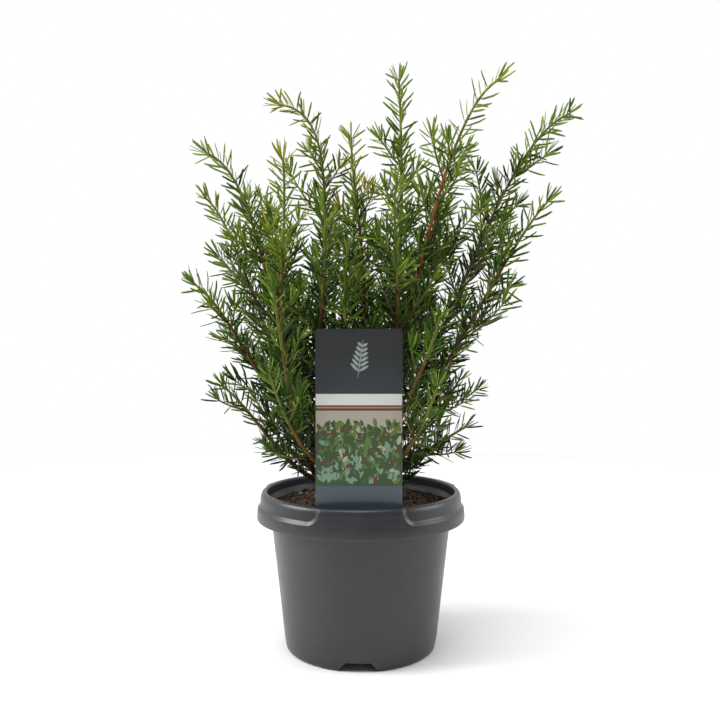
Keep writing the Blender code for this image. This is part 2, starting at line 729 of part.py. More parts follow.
def make_mass(shoot, stems, twigs, limb_points, facing):
    """One mass: a stem and its twigs, each a spiky core, joined into one solid."""
    own = [stems[shoot.name]] + twigs[shoot.name]
    others = [stems[name] for name in stems if name != shoot.name]
    others += [twig for name, grown in twigs.items() if name != shoot.name for twig in grown]
    other_points = np.concatenate(others)
    cores = []
    for index, path in enumerate(own):
        rivals = [rival for number, rival in enumerate(own) if number != index]

        def room_for(reach, path=path, rivals=rivals):
            near_own = nearest(reach, path)
            if (nearest(reach, other_points) < near_own + ROOM_MARGIN).any():
                return False
            if rivals and (nearest(reach, np.concatenate(rivals)) < near_own).any():
                return False
            if nearest(reach, limb_points).min() < BOUGH_RADIUS + LIMB_ROOM + 0.001:
                return False
            if not clear_of_trunk(reach):
                return False
            return bool(clear_of_things(reach, 0.0).all()) and near_own[-1] > 0.25 * NEEDLE_LENGTH

        whole = path_length(path)[-1]
        spans = max(2, round(whole / NEEDLE_SPAN))
        knots = path_points(path, np.linspace(0.0, whole, spans + 1))
        thick = stem_radius(0.0) if index == 0 else 0.75 * STEM_RADIUS
        radii = np.linspace(thick, STEM_TIP_RADIUS if index == 0 else 0.8 * STEM_TIP_RADIUS, spans + 1)
        from_trunk = index == 0 and not shoot.bare
        bm = spiky_core(knots, radii, 0.4 if index == 0 else 1, room_for, facing if from_trunk else None)
        cores.append(add_object(shoot.name + "_core_%d" % index, bm, (0.06, 0.12, 0.02), 0.5))
    return join_cores(shoot.name, cores)


def join_cores(name, cores):
    """One Boolean union on a collection joins a mass, and then only it is left."""
    first = cores[0]
    if len(cores) > 1:
        grown = bpy.data.collections.new(name + "_twigs")
        bpy.context.scene.collection.children.link(grown)
        for twig in cores[1:]:
            bpy.context.scene.collection.objects.unlink(twig)
            grown.objects.link(twig)
        union = first.modifiers.new("join", "BOOLEAN")
        union.operation = "UNION"
        union.operand_type = "COLLECTION"
        union.collection = grown
        with bpy.context.temp_override(object=first, active_object=first, selected_objects=[first]):
            bpy.ops.object.modifier_apply(modifier=union.name)
        for twig in cores[1:]:
            bpy.data.objects.remove(twig, do_unlink=True)
        bpy.data.collections.remove(grown)
    first.name = name
    first.data.name = name
    keep_outer_shell(first)
    first.data.materials.clear()
    first.data.materials.append(finish_material(name + "_needles", (0.045, 0.105, 0.018), 0.45))
    return first


def keep_outer_shell(obj):
    """Drop sealed hollows and loose scraps, so one closed body is left."""
    bm = bmesh.new()
    bm.from_mesh(obj.data)
    left = set(bm.faces)
    shells = []
    while left:
        seed = left.pop()
        shell, front = [seed], [seed]
        while front:
            face = front.pop()
            for edge in face.edges:
                for other in edge.link_faces:
                    if other in left:
                        left.discard(other)
                        shell.append(other)
                        front.append(other)
        shells.append(shell)
    shells.sort(key=lambda shell: -len(shell))
    for shell in shells[1:]:
        bmesh.ops.delete(bm, geom=shell, context="FACES")
    loose = [vertex for vertex in bm.verts if not vertex.link_faces]
    bmesh.ops.delete(bm, geom=loose, context="VERTS")
    bm.to_mesh(obj.data)
    bm.free()


def make_bough(shoot, path, radii, facing):
    bm = bmesh.new()
    rings = tube_rings(bm, path, radii, BOUGH_SIDES, first_facing=facing)
    capped_tube(bm, rings)
    bough = add_object(shoot.name + "_bough", bm, (0.130, 0.072, 0.040), 0.8)
    smoothen(bough, 50)
    return bough


def main():
    clear_scene()
    make_pot()
    make_soil()
    make_label()
    make_trunk()
    boughs, stems, facings = grow_shoots()
    twigs, limb_points = grow_twigs(boughs, stems)
    for shoot in SHOOTS:
        if shoot.bare:
            make_bough(shoot, *boughs[shoot.name], facings[shoot.name])
        make_mass(shoot, stems, twigs, limb_points, facings[shoot.name])


main()
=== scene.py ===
"""The looks of a hybrid yew in a round nursery pot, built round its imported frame.

Metres, +Z up, in the frame's own axes: the origin is the middle of the pot's
underside and the label faces -Y. The shoots are the frame's own, and grow on
here by its rule to longer side twigs, fine twigs and real needles.
"""

import json
import math
import random
from collections import namedtuple

import bmesh
import bpy
import numpy as np
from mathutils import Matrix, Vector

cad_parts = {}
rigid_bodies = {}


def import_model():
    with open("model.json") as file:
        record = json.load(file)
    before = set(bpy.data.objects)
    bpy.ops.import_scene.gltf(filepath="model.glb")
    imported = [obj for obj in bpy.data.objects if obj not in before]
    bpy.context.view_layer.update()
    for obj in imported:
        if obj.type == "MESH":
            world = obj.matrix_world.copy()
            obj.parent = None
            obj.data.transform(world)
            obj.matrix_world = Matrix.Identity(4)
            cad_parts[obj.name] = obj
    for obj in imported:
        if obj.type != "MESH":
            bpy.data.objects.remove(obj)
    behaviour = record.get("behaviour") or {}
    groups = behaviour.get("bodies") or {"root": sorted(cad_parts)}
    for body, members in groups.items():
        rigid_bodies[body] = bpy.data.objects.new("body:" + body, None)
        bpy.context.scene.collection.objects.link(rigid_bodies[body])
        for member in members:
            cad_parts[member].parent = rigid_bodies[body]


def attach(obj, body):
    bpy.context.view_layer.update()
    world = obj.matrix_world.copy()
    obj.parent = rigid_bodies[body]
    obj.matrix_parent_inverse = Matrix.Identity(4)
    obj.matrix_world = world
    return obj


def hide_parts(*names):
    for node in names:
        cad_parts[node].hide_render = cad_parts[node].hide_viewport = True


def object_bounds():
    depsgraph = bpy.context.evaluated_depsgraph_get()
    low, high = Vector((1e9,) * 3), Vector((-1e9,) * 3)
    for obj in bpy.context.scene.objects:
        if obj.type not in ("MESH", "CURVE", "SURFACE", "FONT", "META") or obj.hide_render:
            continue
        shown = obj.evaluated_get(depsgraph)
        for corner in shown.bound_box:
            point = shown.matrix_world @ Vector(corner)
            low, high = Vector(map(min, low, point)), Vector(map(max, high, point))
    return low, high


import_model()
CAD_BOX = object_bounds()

bl_info = {
    "name": "Potted Hybrid Yew",
    "version": (1, 0, 0),
    "blender": (4, 5, 0),
    "location": "3D View > Sidebar > Yew",
    "description": "Builds the surfaces of a potted yew shrub round its frame",
    "category": "Add Mesh",
}

# Clearance between touching pieces
GAP = 0.0003

# Pot
WALL = 0.0016
FOOT_RADIUS = 0.0598
WALL_RADIUS_AT_GROUND = 0.0618
WALL_SLOPE = 0.1112
RIM_RADIUS = 0.08525
RIM_TOP = 0.1290
RIM_BOTTOM = 0.1065
MOUTH_RADIUS = 0.0773
SHOULDER = 0.1150
RECESS = 0.0017
RECESS_LEDGE = 0.1166
RECESS_CORNER = 0.0095
PANEL_HALF_ANGLE = 22.6
REAR_RIM_ANGLE = 104.5
CHANNELS = 4
CHANNEL_TURN = 268.0
CHANNEL_HEIGHT = 0.0070
CHANNEL_TOP_ANGLE = 8.8
CHANNEL_FOOT_ANGLE = 14.8
CHANNEL_START = 0.0270
HUB_RADIUS = 0.0180
SLOT_INNER = 0.0400
SLOT_OUTER = 0.0490

# Soil
SOIL_EDGE = 0.1175
SOIL_TOP = 0.1200
SOIL_RADIUS = 0.0762
SOIL_COLUMNS = 300
SOIL_ROWS = 90
SOIL_SINK = 0.0003
LUMPS = ((0.016, 0.5), (0.0062, 0.32), (0.0027, 0.18))
LUMP_WAVES = 7

# Label
LABEL_CENTRE_X = -0.0015
LABEL_Y = -0.0660
LABEL_WIDTH = 0.0650
LABEL_THICK = 0.0006
LABEL_TOP = 0.2614
LABEL_SHOULDER = 0.1225
LABEL_CORNER = 0.0022
SHOULDER_CUT = 0.004
SPIKE_WIDTH = 0.0200
SPIKE_TIP = 0.0740
SPIKE_POINT = 0.018
PRINT_LIFT = 0.00006
DABS = 560

# Trunk
TRUNK_FOOT = np.array([-0.0040, 0.0040, SOIL_TOP + GAP])
TRUNK_FORK = np.array([0.0000, 0.0030, 0.1620])
TRUNK_FOOT_RADIUS = 0.0118
TRUNK_RADIUS = 0.0078
TRUNK_FORK_RADIUS = 0.0066
FLARE_HEIGHT = 0.0110
FLARE_LOBES = 3
FLARE_DEPTH = 0.13
TRUNK_SIDES = 10

# Limbs, by the rule of the solids
BOUGH_RADIUS = 0.0031
BOUGH_TIP_RADIUS = 0.0022
SIDE_BOUGH_RADIUS = 0.0023
BOUGH_SPANS = 4
STEM_RADIUS = 0.0021
SHOOT_SAMPLES = 61

# Side twigs: where they leave, how far they reach and the room they need
TWIG_FROM = 0.16
TWIG_SPREAD = 0.62
TWIG_LEAVE = 44.0
TWIG_LIFT = 0.55
TWIG_SHARE = 0.42
TWIG_SHORTEST = 0.024
TWIG_ROOM = 0.0095
GOLDEN_ANGLE = 137.5

# Fine twigs between them
FINE_FROM = 0.04
FINE_SPREAD = 0.72
FINE_TURN = 60.0
FINE_LENGTHS = (0.018, 0.038)
SPARSE_SPACING = 2.2

# Round sections of the dressed stems and twigs
STEM_RADII = (0.0020, 0.00085)
STEM_SIDES = 8
FINE_RADII = (0.00095, 0.00055)
FINE_SIDES = 6

# Needle: stations along it, as shares of its length and of its width, and the
# rise of its ridge and keel as shares of its width
NEEDLE_STATIONS = ((0.0, 0.40), (0.06, 0.44), (0.20, 0.92), (0.66, 1.0), (0.90, 0.70))
RIDGE = 0.24
KEEL = 0.18

# How strongly needles on a leaning stem turn upwards, how many stand at a tip
# and how long those of the open skirt are
NEEDLE_COMB = 0.75
ROSETTE = 7
SKIRT_NEEDLE = 0.86

# Stage: rings of the round floor, and each lamp's place, target and size
FLOOR_SIDES = 96
FLOOR_RINGS = (0.02, 0.2, 0.5, 1.1)
KEY_LAMP = ((-1.30, -0.20, 0.95), (0.0, 0.0, 0.25), 0.7)
FILL_LAMP = ((1.35, -0.10, 0.70), (0.0, 0.0, 0.20), 0.7)
TOP_LAMP = ((-0.15, -0.35, 1.60), (0.0, 0.0, 0.20), 0.9)
CAMERA_X = -0.0007

UP = np.array([0.0, 0.0, 1.0])

# One shoot, as in the solids: where it leaves its parent, its tip, the
# (azimuth, rise) it leaves and arrives with and the shares of its span that
# they hold for, the length of its bare bough, its side twigs and their turn.
Shoot = namedtuple("Shoot", "name parent place tip leave arrive pulls bare twigs turn")

SHOOTS = (
    Shoot("left_high", "trunk", 0.150, (-0.120, -0.035, 0.397),
          (184, 42), (182, 18), (0.36, 0.20), 0.052, 4, 200),
    Shoot("left_arch", "trunk", 0.138, (-0.133, -0.020, 0.297),
          (192, 26), (182, 26), (0.29, 0.16), 0.048, 3, 150),
    Shoot("left_low", "trunk", 0.129, (-0.108, -0.040, 0.218),
          (206, 10), (186, 40), (0.42, 0.34), 0.040, 3, 60),
    Shoot("top_left", "trunk", 0.157, (-0.071, 0.045, 0.454),
          (132, 34), (176, 3), (0.40, 0.27), 0.050, 5, 20),
    Shoot("top_centre", "trunk", 0.161, (0.031, 0.006, 0.465),
          (46, 66), (0, 93), (0.42, 0.23), 0.045, 4, 90),
    Shoot("top_right", "trunk", 0.151, (0.105, -0.045, 0.450),
          (342, 68), (350, 24), (0.28, 0.16), 0.060, 3, 250),
    Shoot("right_high", "trunk", 0.143, (0.177, 0.030, 0.443),
          (16, 52), (4, 21), (0.35, 0.19), 0.055, 5, 130),
    Shoot("right_arch", "trunk", 0.134, (0.145, -0.035, 0.360),
          (336, 50), (0, 45), (0.38, 0.16), 0.050, 4, 180),
    Shoot("front_label", "trunk", 0.147, (-0.010, -0.058, 0.320),
          (268, 42), (180, 96), (0.42, 0.35), 0.042, 2, 120),
    Shoot("back_centre", "trunk", 0.150, (-0.007, 0.146, 0.404),
          (94, 46), (92, 60), (0.40, 0.30), 0.048, 4, 30),
    Shoot("back_left", "trunk", 0.142, (-0.095, 0.122, 0.386),
          (128, 38), (136, 50), (0.40, 0.25), 0.048, 4, 140),
    Shoot("back_right", "trunk", 0.140, (0.083, 0.128, 0.375),
          (62, 38), (50, 62), (0.40, 0.25), 0.048, 4, 220),
    Shoot("left_mid", "left_high", 0.55, (-0.137, 0.058, 0.376),
          (136, 34), (174, 34), (0.40, 0.15), 0.020, 4, 180),
    Shoot("upright_left", "left_arch", 0.50, (-0.058, -0.060, 0.388),
          (230, 44), (190, 85), (0.45, 0.29), 0.018, 3, 100),
    Shoot("front_left", "left_low", 0.70, (-0.062, -0.098, 0.288),
          (254, 28), (225, 76), (0.43, 0.25), 0.018, 3, 240),
    Shoot("yellow_centre", "top_left", 0.45, (-0.008, 0.040, 0.425),
          (60, 50), (180, 92), (0.45, 0.20), 0.016, 3, 0),
    Shoot("front_centre", "front_label", 0.70, (0.026, -0.076, 0.368),
          (350, 52), (310, 74), (0.38, 0.20), 0.016, 3, 300),
    Shoot("right_twig", "top_right", 0.50, (0.092, 0.050, 0.417),
          (66, 46), (10, 44), (0.34, 0.14), 0.018, 3, 160),
    Shoot("right_low", "right_arch", 0.50, (0.084, 0.024, 0.218),
          (50, 4), (10, 57), (0.40, 0.28), 0.014, 2, 200),
    Shoot("front_upright", "front_label", 0.45, (-0.027, -0.082, 0.352),
          (200, 52), (230, 76), (0.40, 0.25), 0.016, 2, 60),
    Shoot("front_right", "right_arch", 0.62, (0.056, -0.092, 0.270),
          (275, 30), (320, 74), (0.42, 0.25), 0.016, 3, 290),
    Shoot("back_low", "back_centre", 0.55, (0.005, 0.162, 0.290),
          (44, 16), (90, 58), (0.40, 0.25), 0.016, 3, 60),
    Shoot("back_low_left", "back_left", 0.55, (-0.102, 0.108, 0.264),
          (186, 20), (142, 52), (0.40, 0.25), 0.016, 3, 160),
    Shoot("back_low_right", "back_right", 0.55, (0.098, 0.110, 0.271),
          (0, 20), (46, 56), (0.40, 0.25), 0.016, 3, 330),
    Shoot("left_inner", "trunk", 0.131, (-0.092, 0.045, 0.199),
          (158, 10), (160, 55), (0.45, 0.31), 0.0, 2, 90),
    Shoot("right_foot", "trunk", 0.1285, (0.083, -0.030, 0.184),
          (352, 30), (345, 24), (0.50, 0.13), 0.0, 3, 270),
    Shoot("right_skirt", "trunk", 0.1290, (0.066, 0.042, 0.156),
          (32, 32), (30, 6), (0.50, 0.30), 0.0, 2, 240),
    Shoot("front_low_left", "trunk", 0.136, (-0.064, -0.108, 0.230),
          (236, 16), (242, 58), (0.45, 0.28), 0.0, 3, 200),
    Shoot("front_low_right", "trunk", 0.140, (0.054, -0.104, 0.222),
          (302, 12), (298, 58), (0.45, 0.28), 0.0, 3, 320),
    Shoot("back_foot", "trunk", 0.1300, (0.004, 0.112, 0.192),
          (104, 18), (90, 46), (0.45, 0.28), 0.0, 3, 120),
)

# Shoots whose tips are yellow, with the share of the shoot where that starts
GOLDEN_FROM = {"yellow_centre": 0.74, "top_left": 0.84, "upright_left": 0.84, "top_right": 0.90}

# Shoots painted brighter or darker than the rest: painted light on the lit shoots at the left, front and top,
# painted shade on those at the right, inside and in the low skirt
PAINTED_LIGHT_BY_SHOOT = {"left_high": 0.08, "left_mid": 0.10, "left_arch": 0.10, "left_low": -0.02, "top_centre": 0.06,
            "right_high": -0.04, "right_arch": 0.0, "right_foot": -0.05, "front_centre": 0.10,
            "front_label": 0.02, "right_twig": 0.0, "upright_left": 0.10, "front_left": -0.02,
            "left_inner": -0.08, "right_low": -0.04, "right_skirt": -0.06}

# Shoots with fewer or more needles than the rest, as a factor on their spacing
THINNER = {"top_right": 1.5, "right_arch": 1.15, "right_high": 0.75, "top_centre": 0.9, "left_low": 1.15}

# Shoots of the open skirt, which carry few fine twigs
SPARSE = ("left_low", "left_inner", "front_low_left", "front_low_right", "front_left", "front_right",
          "right_foot", "right_skirt", "right_low", "back_foot", "back_low_left", "back_low_right")


# Settings


class YewPlantSettings(bpy.types.PropertyGroup):
    """Sizes and colours of the shrub."""
    needle_length: bpy.props.FloatProperty(
        name="Needle length", description="Length of a full-grown needle", default=0.0178, unit="LENGTH")
    needle_tip_length: bpy.props.FloatProperty(
        name="Tip needle length", description="Length of the last needles of a shoot", default=0.0155,
        unit="LENGTH")
    needle_width: bpy.props.FloatProperty(
        name="Needle width", description="Width of a needle", default=0.00178, unit="LENGTH")
    needle_spacing: bpy.props.FloatProperty(
        name="Needle spacing", description="Way along a stem from one needle to the next", default=0.00155,
        unit="LENGTH")
    fine_twig_spacing: bpy.props.FloatProperty(
        name="Fine twig spacing", description="Way along a stem from one fine twig to the next",
        default=0.017, unit="LENGTH")
    # Deep green is painted shade: it goes to needles inside the crown, low down and on the shaded shoots
    deep_shade_green: bpy.props.FloatVectorProperty(
        name="Deep green", description="Inner, shaded needles", subtype="COLOR",
        default=(0.0045, 0.0105, 0.0012))
    leaf_green: bpy.props.FloatVectorProperty(
        name="Leaf green", description="Full-grown needles", subtype="COLOR", default=(0.0160, 0.0440, 0.0036))
    fresh_green: bpy.props.FloatVectorProperty(
        name="Fresh green", description="Younger needles", subtype="COLOR", default=(0.052, 0.104, 0.0075))
    # Lime green is partly the paler young growth at the tips and partly painted light on the lit, high needles
    lime_green: bpy.props.FloatVectorProperty(
        name="Lime green", description="Needles at the tips", subtype="COLOR",
        default=(0.150, 0.220, 0.0150))
    gold: bpy.props.FloatVectorProperty(
        name="Gold", description="Yellow tips", subtype="COLOR", default=(0.340, 0.320, 0.0240))
    bark: bpy.props.FloatVectorProperty(
        name="Bark", description="Old bark", subtype="COLOR", default=(0.070, 0.032, 0.016))


class YewPotSettings(bpy.types.PropertyGroup):
    """Finish of the pot."""
    colour: bpy.props.FloatVectorProperty(
        name="Pot colour", description="Colour of the moulded plastic", subtype="COLOR",
        default=(0.0180, 0.0188, 0.0222))
    roughness: bpy.props.FloatProperty(
        name="Pot roughness", description="Roughness of the plastic", default=0.36, min=0.0, max=1.0)


class YewSoilSettings(bpy.types.PropertyGroup):
    """Finish of the peat."""
    dark: bpy.props.FloatVectorProperty(
        name="Dark peat", description="Moist peat", subtype="COLOR", default=(0.012, 0.007, 0.004))
    light: bpy.props.FloatVectorProperty(
        name="Light peat", description="Dry peat", subtype="COLOR", default=(0.085, 0.040, 0.020))
    relief: bpy.props.FloatProperty(
        name="Relief", description="Height of the lumps", default=0.0013, unit="LENGTH")
    crumbs: bpy.props.IntProperty(
        name="Crumbs", description="Number of loose crumbs", default=1500, min=0)


class YewLabelSettings(bpy.types.PropertyGroup):
    """Colours of the label's plain design."""
    slate: bpy.props.FloatVectorProperty(
        name="Slate", description="Colour at the label's foot", subtype="COLOR",
        default=(0.060, 0.085, 0.110))
    charcoal: bpy.props.FloatVectorProperty(
        name="Charcoal", description="Colour at the label's head", subtype="COLOR",
        default=(0.026, 0.028, 0.030))
    band: bpy.props.FloatVectorProperty(
        name="Band", description="Colour of the pale band", subtype="COLOR", default=(0.700, 0.700, 0.680))
    rule: bpy.props.FloatVectorProperty(
        name="Rule", description="Colour of the thin rule under the band", subtype="COLOR",
        default=(0.620, 0.210, 0.030))


class YewStageSettings(bpy.types.PropertyGroup):
    """Floor, light and camera."""
    floor: bpy.props.FloatVectorProperty(
        name="Floor", description="Colour of the floor", subtype="COLOR", default=(0.86, 0.86, 0.86))
    key_power: bpy.props.FloatProperty(
        name="Key light", description="Power of the large lamp at the left", default=22.0, unit="POWER")
    fill_power: bpy.props.FloatProperty(
        name="Fill light", description="Power of the lamp at the right", default=9.0, unit="POWER")
    top_power: bpy.props.FloatProperty(
        name="Top light", description="Power of the lamp overhead", default=16.0, unit="POWER")
    wall: bpy.props.FloatProperty(
        name="Wall", description="Brightness of the white wall behind", default=1.0, min=0.0)
    room: bpy.props.FloatProperty(
        name="Room", description="Brightness of the room in front", default=0.22, min=0.0)
    camera_distance: bpy.props.FloatProperty(
        name="Camera distance", description="From the pot's axis", default=0.700, unit="LENGTH")
    camera_height: bpy.props.FloatProperty(
        name="Camera height", description="Above the floor", default=0.2635, unit="LENGTH")
    camera_pitch: bpy.props.FloatProperty(
        name="Camera pitch", description="How far it looks down", default=math.radians(2.35),
        subtype="ANGLE")
    lens: bpy.props.FloatProperty(
        name="Lens", description="Focal length on a 36 mm sensor, in millimetres", default=42.57)


# Meshes


def new_piece(name, points, faces, materials, which=None, smooth=True):
    """A mesh object from arrays. faces is a list of index arrays, one for each number of corners."""
    corners = np.concatenate([block.ravel() for block in faces]).astype(np.int32)
    sizes = np.concatenate([np.full(len(block), block.shape[1]) for block in faces])
    starts = np.concatenate(([0], np.cumsum(sizes)[:-1])).astype(np.int32)
    mesh = bpy.data.meshes.new(name)
    mesh.vertices.add(len(points))
    mesh.vertices.foreach_set("co", np.asarray(points, dtype=np.float32).ravel())
    mesh.loops.add(len(corners))
    mesh.loops.foreach_set("vertex_index", corners)
    mesh.polygons.add(len(sizes))
    mesh.polygons.foreach_set("loop_start", starts)
    mesh.polygons.foreach_set("use_smooth", np.full(len(sizes), smooth))
    for material in materials:
        mesh.materials.append(material)
    if which is not None:
        mesh.polygons.foreach_set("material_index", np.asarray(which, dtype=np.int32))
    mesh.update(calc_edges=True)
    if mesh.validate():
        raise RuntimeError(name + " has faces that are not valid")
    piece = bpy.data.objects.new(name, mesh)
    bpy.context.scene.collection.objects.link(piece)
    return piece


def dress(piece, slot, *nodes):
    """Put a finished piece on the plant's body in place of the frame's nodes."""
    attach(piece, "root")
    if nodes:
        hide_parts(*nodes)


def grid_quads(rows, columns, closed):
    """Quads between the points of a rows by columns grid, closed round the columns or not."""
    row = np.arange(rows - 1)[:, None]
    column = np.arange(columns if closed else columns - 1)[None, :]
    after = (column + 1) % columns
    return np.stack([row * columns + column, row * columns + after,
                     (row + 1) * columns + after, (row + 1) * columns + column], axis=-1).reshape(-1, 4)


def join_parts(parts):
    """One list of points and faces from several (points, [faces], materials of the faces)."""
    points, blocks, which = [], {}, {}
    offset = 0
    for part_points, part_faces, part_which in parts:
        points.append(part_points)
        begin = 0
        for block in part_faces:
            size = block.shape[1]
            blocks.setdefault(size, []).append(block + offset)
            which.setdefault(size, []).append(part_which[begin:begin + len(block)])
            begin += len(block)
        offset += len(part_points)
    sizes = sorted(blocks)
    faces = [np.concatenate(blocks[size]) for size in sizes]
    return np.concatenate(points), faces, np.concatenate([np.concatenate(which[size]) for size in sizes])


def smooth_step(low, high, value):
    """0 below low, 1 above high, and a smooth rise between them."""
    share = np.clip((value - low) / (high - low), 0.0, 1.0)
    return share * share * (3.0 - 2.0 * share)


def ripple(rng, u, v, waves, u_range, v_range):
    """A sum of sine waves with random directions and phases over a grid, about -1 to 1."""
    total = np.zeros(np.broadcast(u, v).shape)
    for _ in range(waves):
        along_u = rng.integers(u_range[0], u_range[1] + 1)
        along_v = rng.uniform(*v_range)
        total = total + np.sin(along_u * u + along_v * v + rng.uniform(0, 2 * math.pi))
    return total / math.sqrt(waves)


# Materials


def plain_material(name, colour, roughness, **sockets):
    """A Principled material with constants on its own sockets."""
    material = bpy.data.materials.new(name)
    material.use_nodes = True
    shader = material.node_tree.nodes["Principled BSDF"]
    shader.inputs["Base Color"].default_value = (*colour, 1.0)
    shader.inputs["Roughness"].default_value = roughness
    for socket, value in sockets.items():
        shader.inputs[socket.replace("_", " ")].default_value = value
    material.diffuse_color = (*colour, 1.0)
    return material


def pattern(material, kind, scale, detail=4.0, stretch=(1.0, 1.0, 1.0), **sockets):
    """A noise or cell pattern on Object coordinates. Returns its node."""
    nodes, links = material.node_tree.nodes, material.node_tree.links
    coordinates = nodes.new("ShaderNodeTexCoord")
    mapping = nodes.new("ShaderNodeMapping")
    mapping.inputs["Scale"].default_value = stretch
    texture = nodes.new(kind)
    texture.inputs["Scale"].default_value = scale
    if "Detail" in texture.inputs:
        texture.inputs["Detail"].default_value = detail
    for socket, value in sockets.items():
        texture.inputs[socket].default_value = value
    links.new(coordinates.outputs["Object"], mapping.inputs["Vector"])
    links.new(mapping.outputs["Vector"], texture.inputs["Vector"])
    return texture


def ramp(material, source, stops):
    """A colour ramp fed by a texture's output. stops are (place, colour)."""
    nodes, links = material.node_tree.nodes, material.node_tree.links
    node = nodes.new("ShaderNodeValToRGB")
    elements = node.color_ramp.elements
    while len(elements) < len(stops):
        elements.new(0.5)
    for element, (place, colour) in zip(elements, stops):
        element.position = place
        element.color = (*colour, 1.0)
    links.new(source, node.inputs["Fac"])
    return node


def paint(material, colour_output):
    shader = material.node_tree.nodes["Principled BSDF"]
    material.node_tree.links.new(colour_output, shader.inputs["Base Color"])


def vary_roughness(material, source, low, high):
    """Roughness between low and high, as a texture's output goes from 0 to 1."""
    nodes, links = material.node_tree.nodes, material.node_tree.links
    spread = nodes.new("ShaderNodeMapRange")
    spread.inputs["To Min"].default_value = low
    spread.inputs["To Max"].default_value = high
    links.new(source, spread.inputs["Value"])
    links.new(spread.outputs["Result"], nodes["Principled BSDF"].inputs["Roughness"])


def add_bump(material, source, strength, distance):
    nodes, links = material.node_tree.nodes, material.node_tree.links
    bump = nodes.new("ShaderNodeBump")
    bump.inputs["Strength"].default_value = strength
    bump.inputs["Distance"].default_value = distance
    links.new(source, bump.inputs["Height"])
    links.new(bump.outputs["Normal"], nodes["Principled BSDF"].inputs["Normal"])


def pot_plastic(settings):
    """Anthracite moulded plastic: faint cloudiness, a fine satin grain and a little dust."""
    material = plain_material("pot_plastic", settings.colour, settings.roughness)
    clouds = pattern(material, "ShaderNodeTexNoise", 38.0, 5.0)
    dark, light = [[channel * factor for channel in settings.colour] for factor in (0.86, 1.22)]
    paint(material, ramp(material, clouds.outputs["Fac"], ((0.30, dark), (0.72, light))).outputs["Color"])
    vary_roughness(material, clouds.outputs["Fac"], settings.roughness - 0.07, settings.roughness + 0.10)
    grain = pattern(material, "ShaderNodeTexNoise", 1900.0, 2.0)
    add_bump(material, grain.outputs["Fac"], 0.12, 0.0002)
    return material


def peat(settings, name="peat"):
    """Dark crumbly peat with reddish fibres."""
    material = plain_material(name, settings.dark, 0.95)
    crumbs = pattern(material, "ShaderNodeTexNoise", 420.0, 6.0)
    middle = [(a + b) / 2.6 for a, b in zip(settings.dark, settings.light)]
    stops = ((0.34, settings.dark), (0.55, middle), (0.74, settings.light))
    paint(material, ramp(material, crumbs.outputs["Fac"], stops).outputs["Color"])
    add_bump(material, crumbs.outputs["Fac"], 0.9, 0.0009)
    return material


def old_bark(settings):
    """Red-brown bark with darker furrows along the limb and paler flakes."""
    material = plain_material("old_bark", settings.bark, 0.82)
    flakes = pattern(material, "ShaderNodeTexNoise", 330.0, 6.0, stretch=(1.0, 1.0, 0.32))
    dark = [channel * 0.42 for channel in settings.bark]
    pale = [min(1.0, channel * 1.75 + 0.02) for channel in settings.bark]
    stops = ((0.32, dark), (0.52, settings.bark), (0.74, pale))
    paint(material, ramp(material, flakes.outputs["Fac"], stops).outputs["Color"])
    add_bump(material, flakes.outputs["Fac"], 0.7, 0.0006)
    return material


def card(settings):
    """Printed card of the label: charcoal at its head, slate at its foot."""
    material = plain_material("label_card", settings.slate, 0.36, Coat_Weight=0.25)
    nodes, links = material.node_tree.nodes, material.node_tree.links
    coordinates = nodes.new("ShaderNodeTexCoord")
    split = nodes.new("ShaderNodeSeparateXYZ")
    height = nodes.new("ShaderNodeMapRange")
    height.inputs["From Min"].default_value = RIM_TOP
    height.inputs["From Max"].default_value = LABEL_TOP
    links.new(coordinates.outputs["Object"], split.inputs["Vector"])
    links.new(split.outputs["Z"], height.inputs["Value"])
    middle = [(a + b) / 2 for a, b in zip(settings.slate, settings.charcoal)]
    stops = ((0.05, settings.slate), (0.45, middle), (0.85, settings.charcoal))
    paint(material, ramp(material, height.outputs["Result"], stops).outputs["Color"])
    return material


# Pot


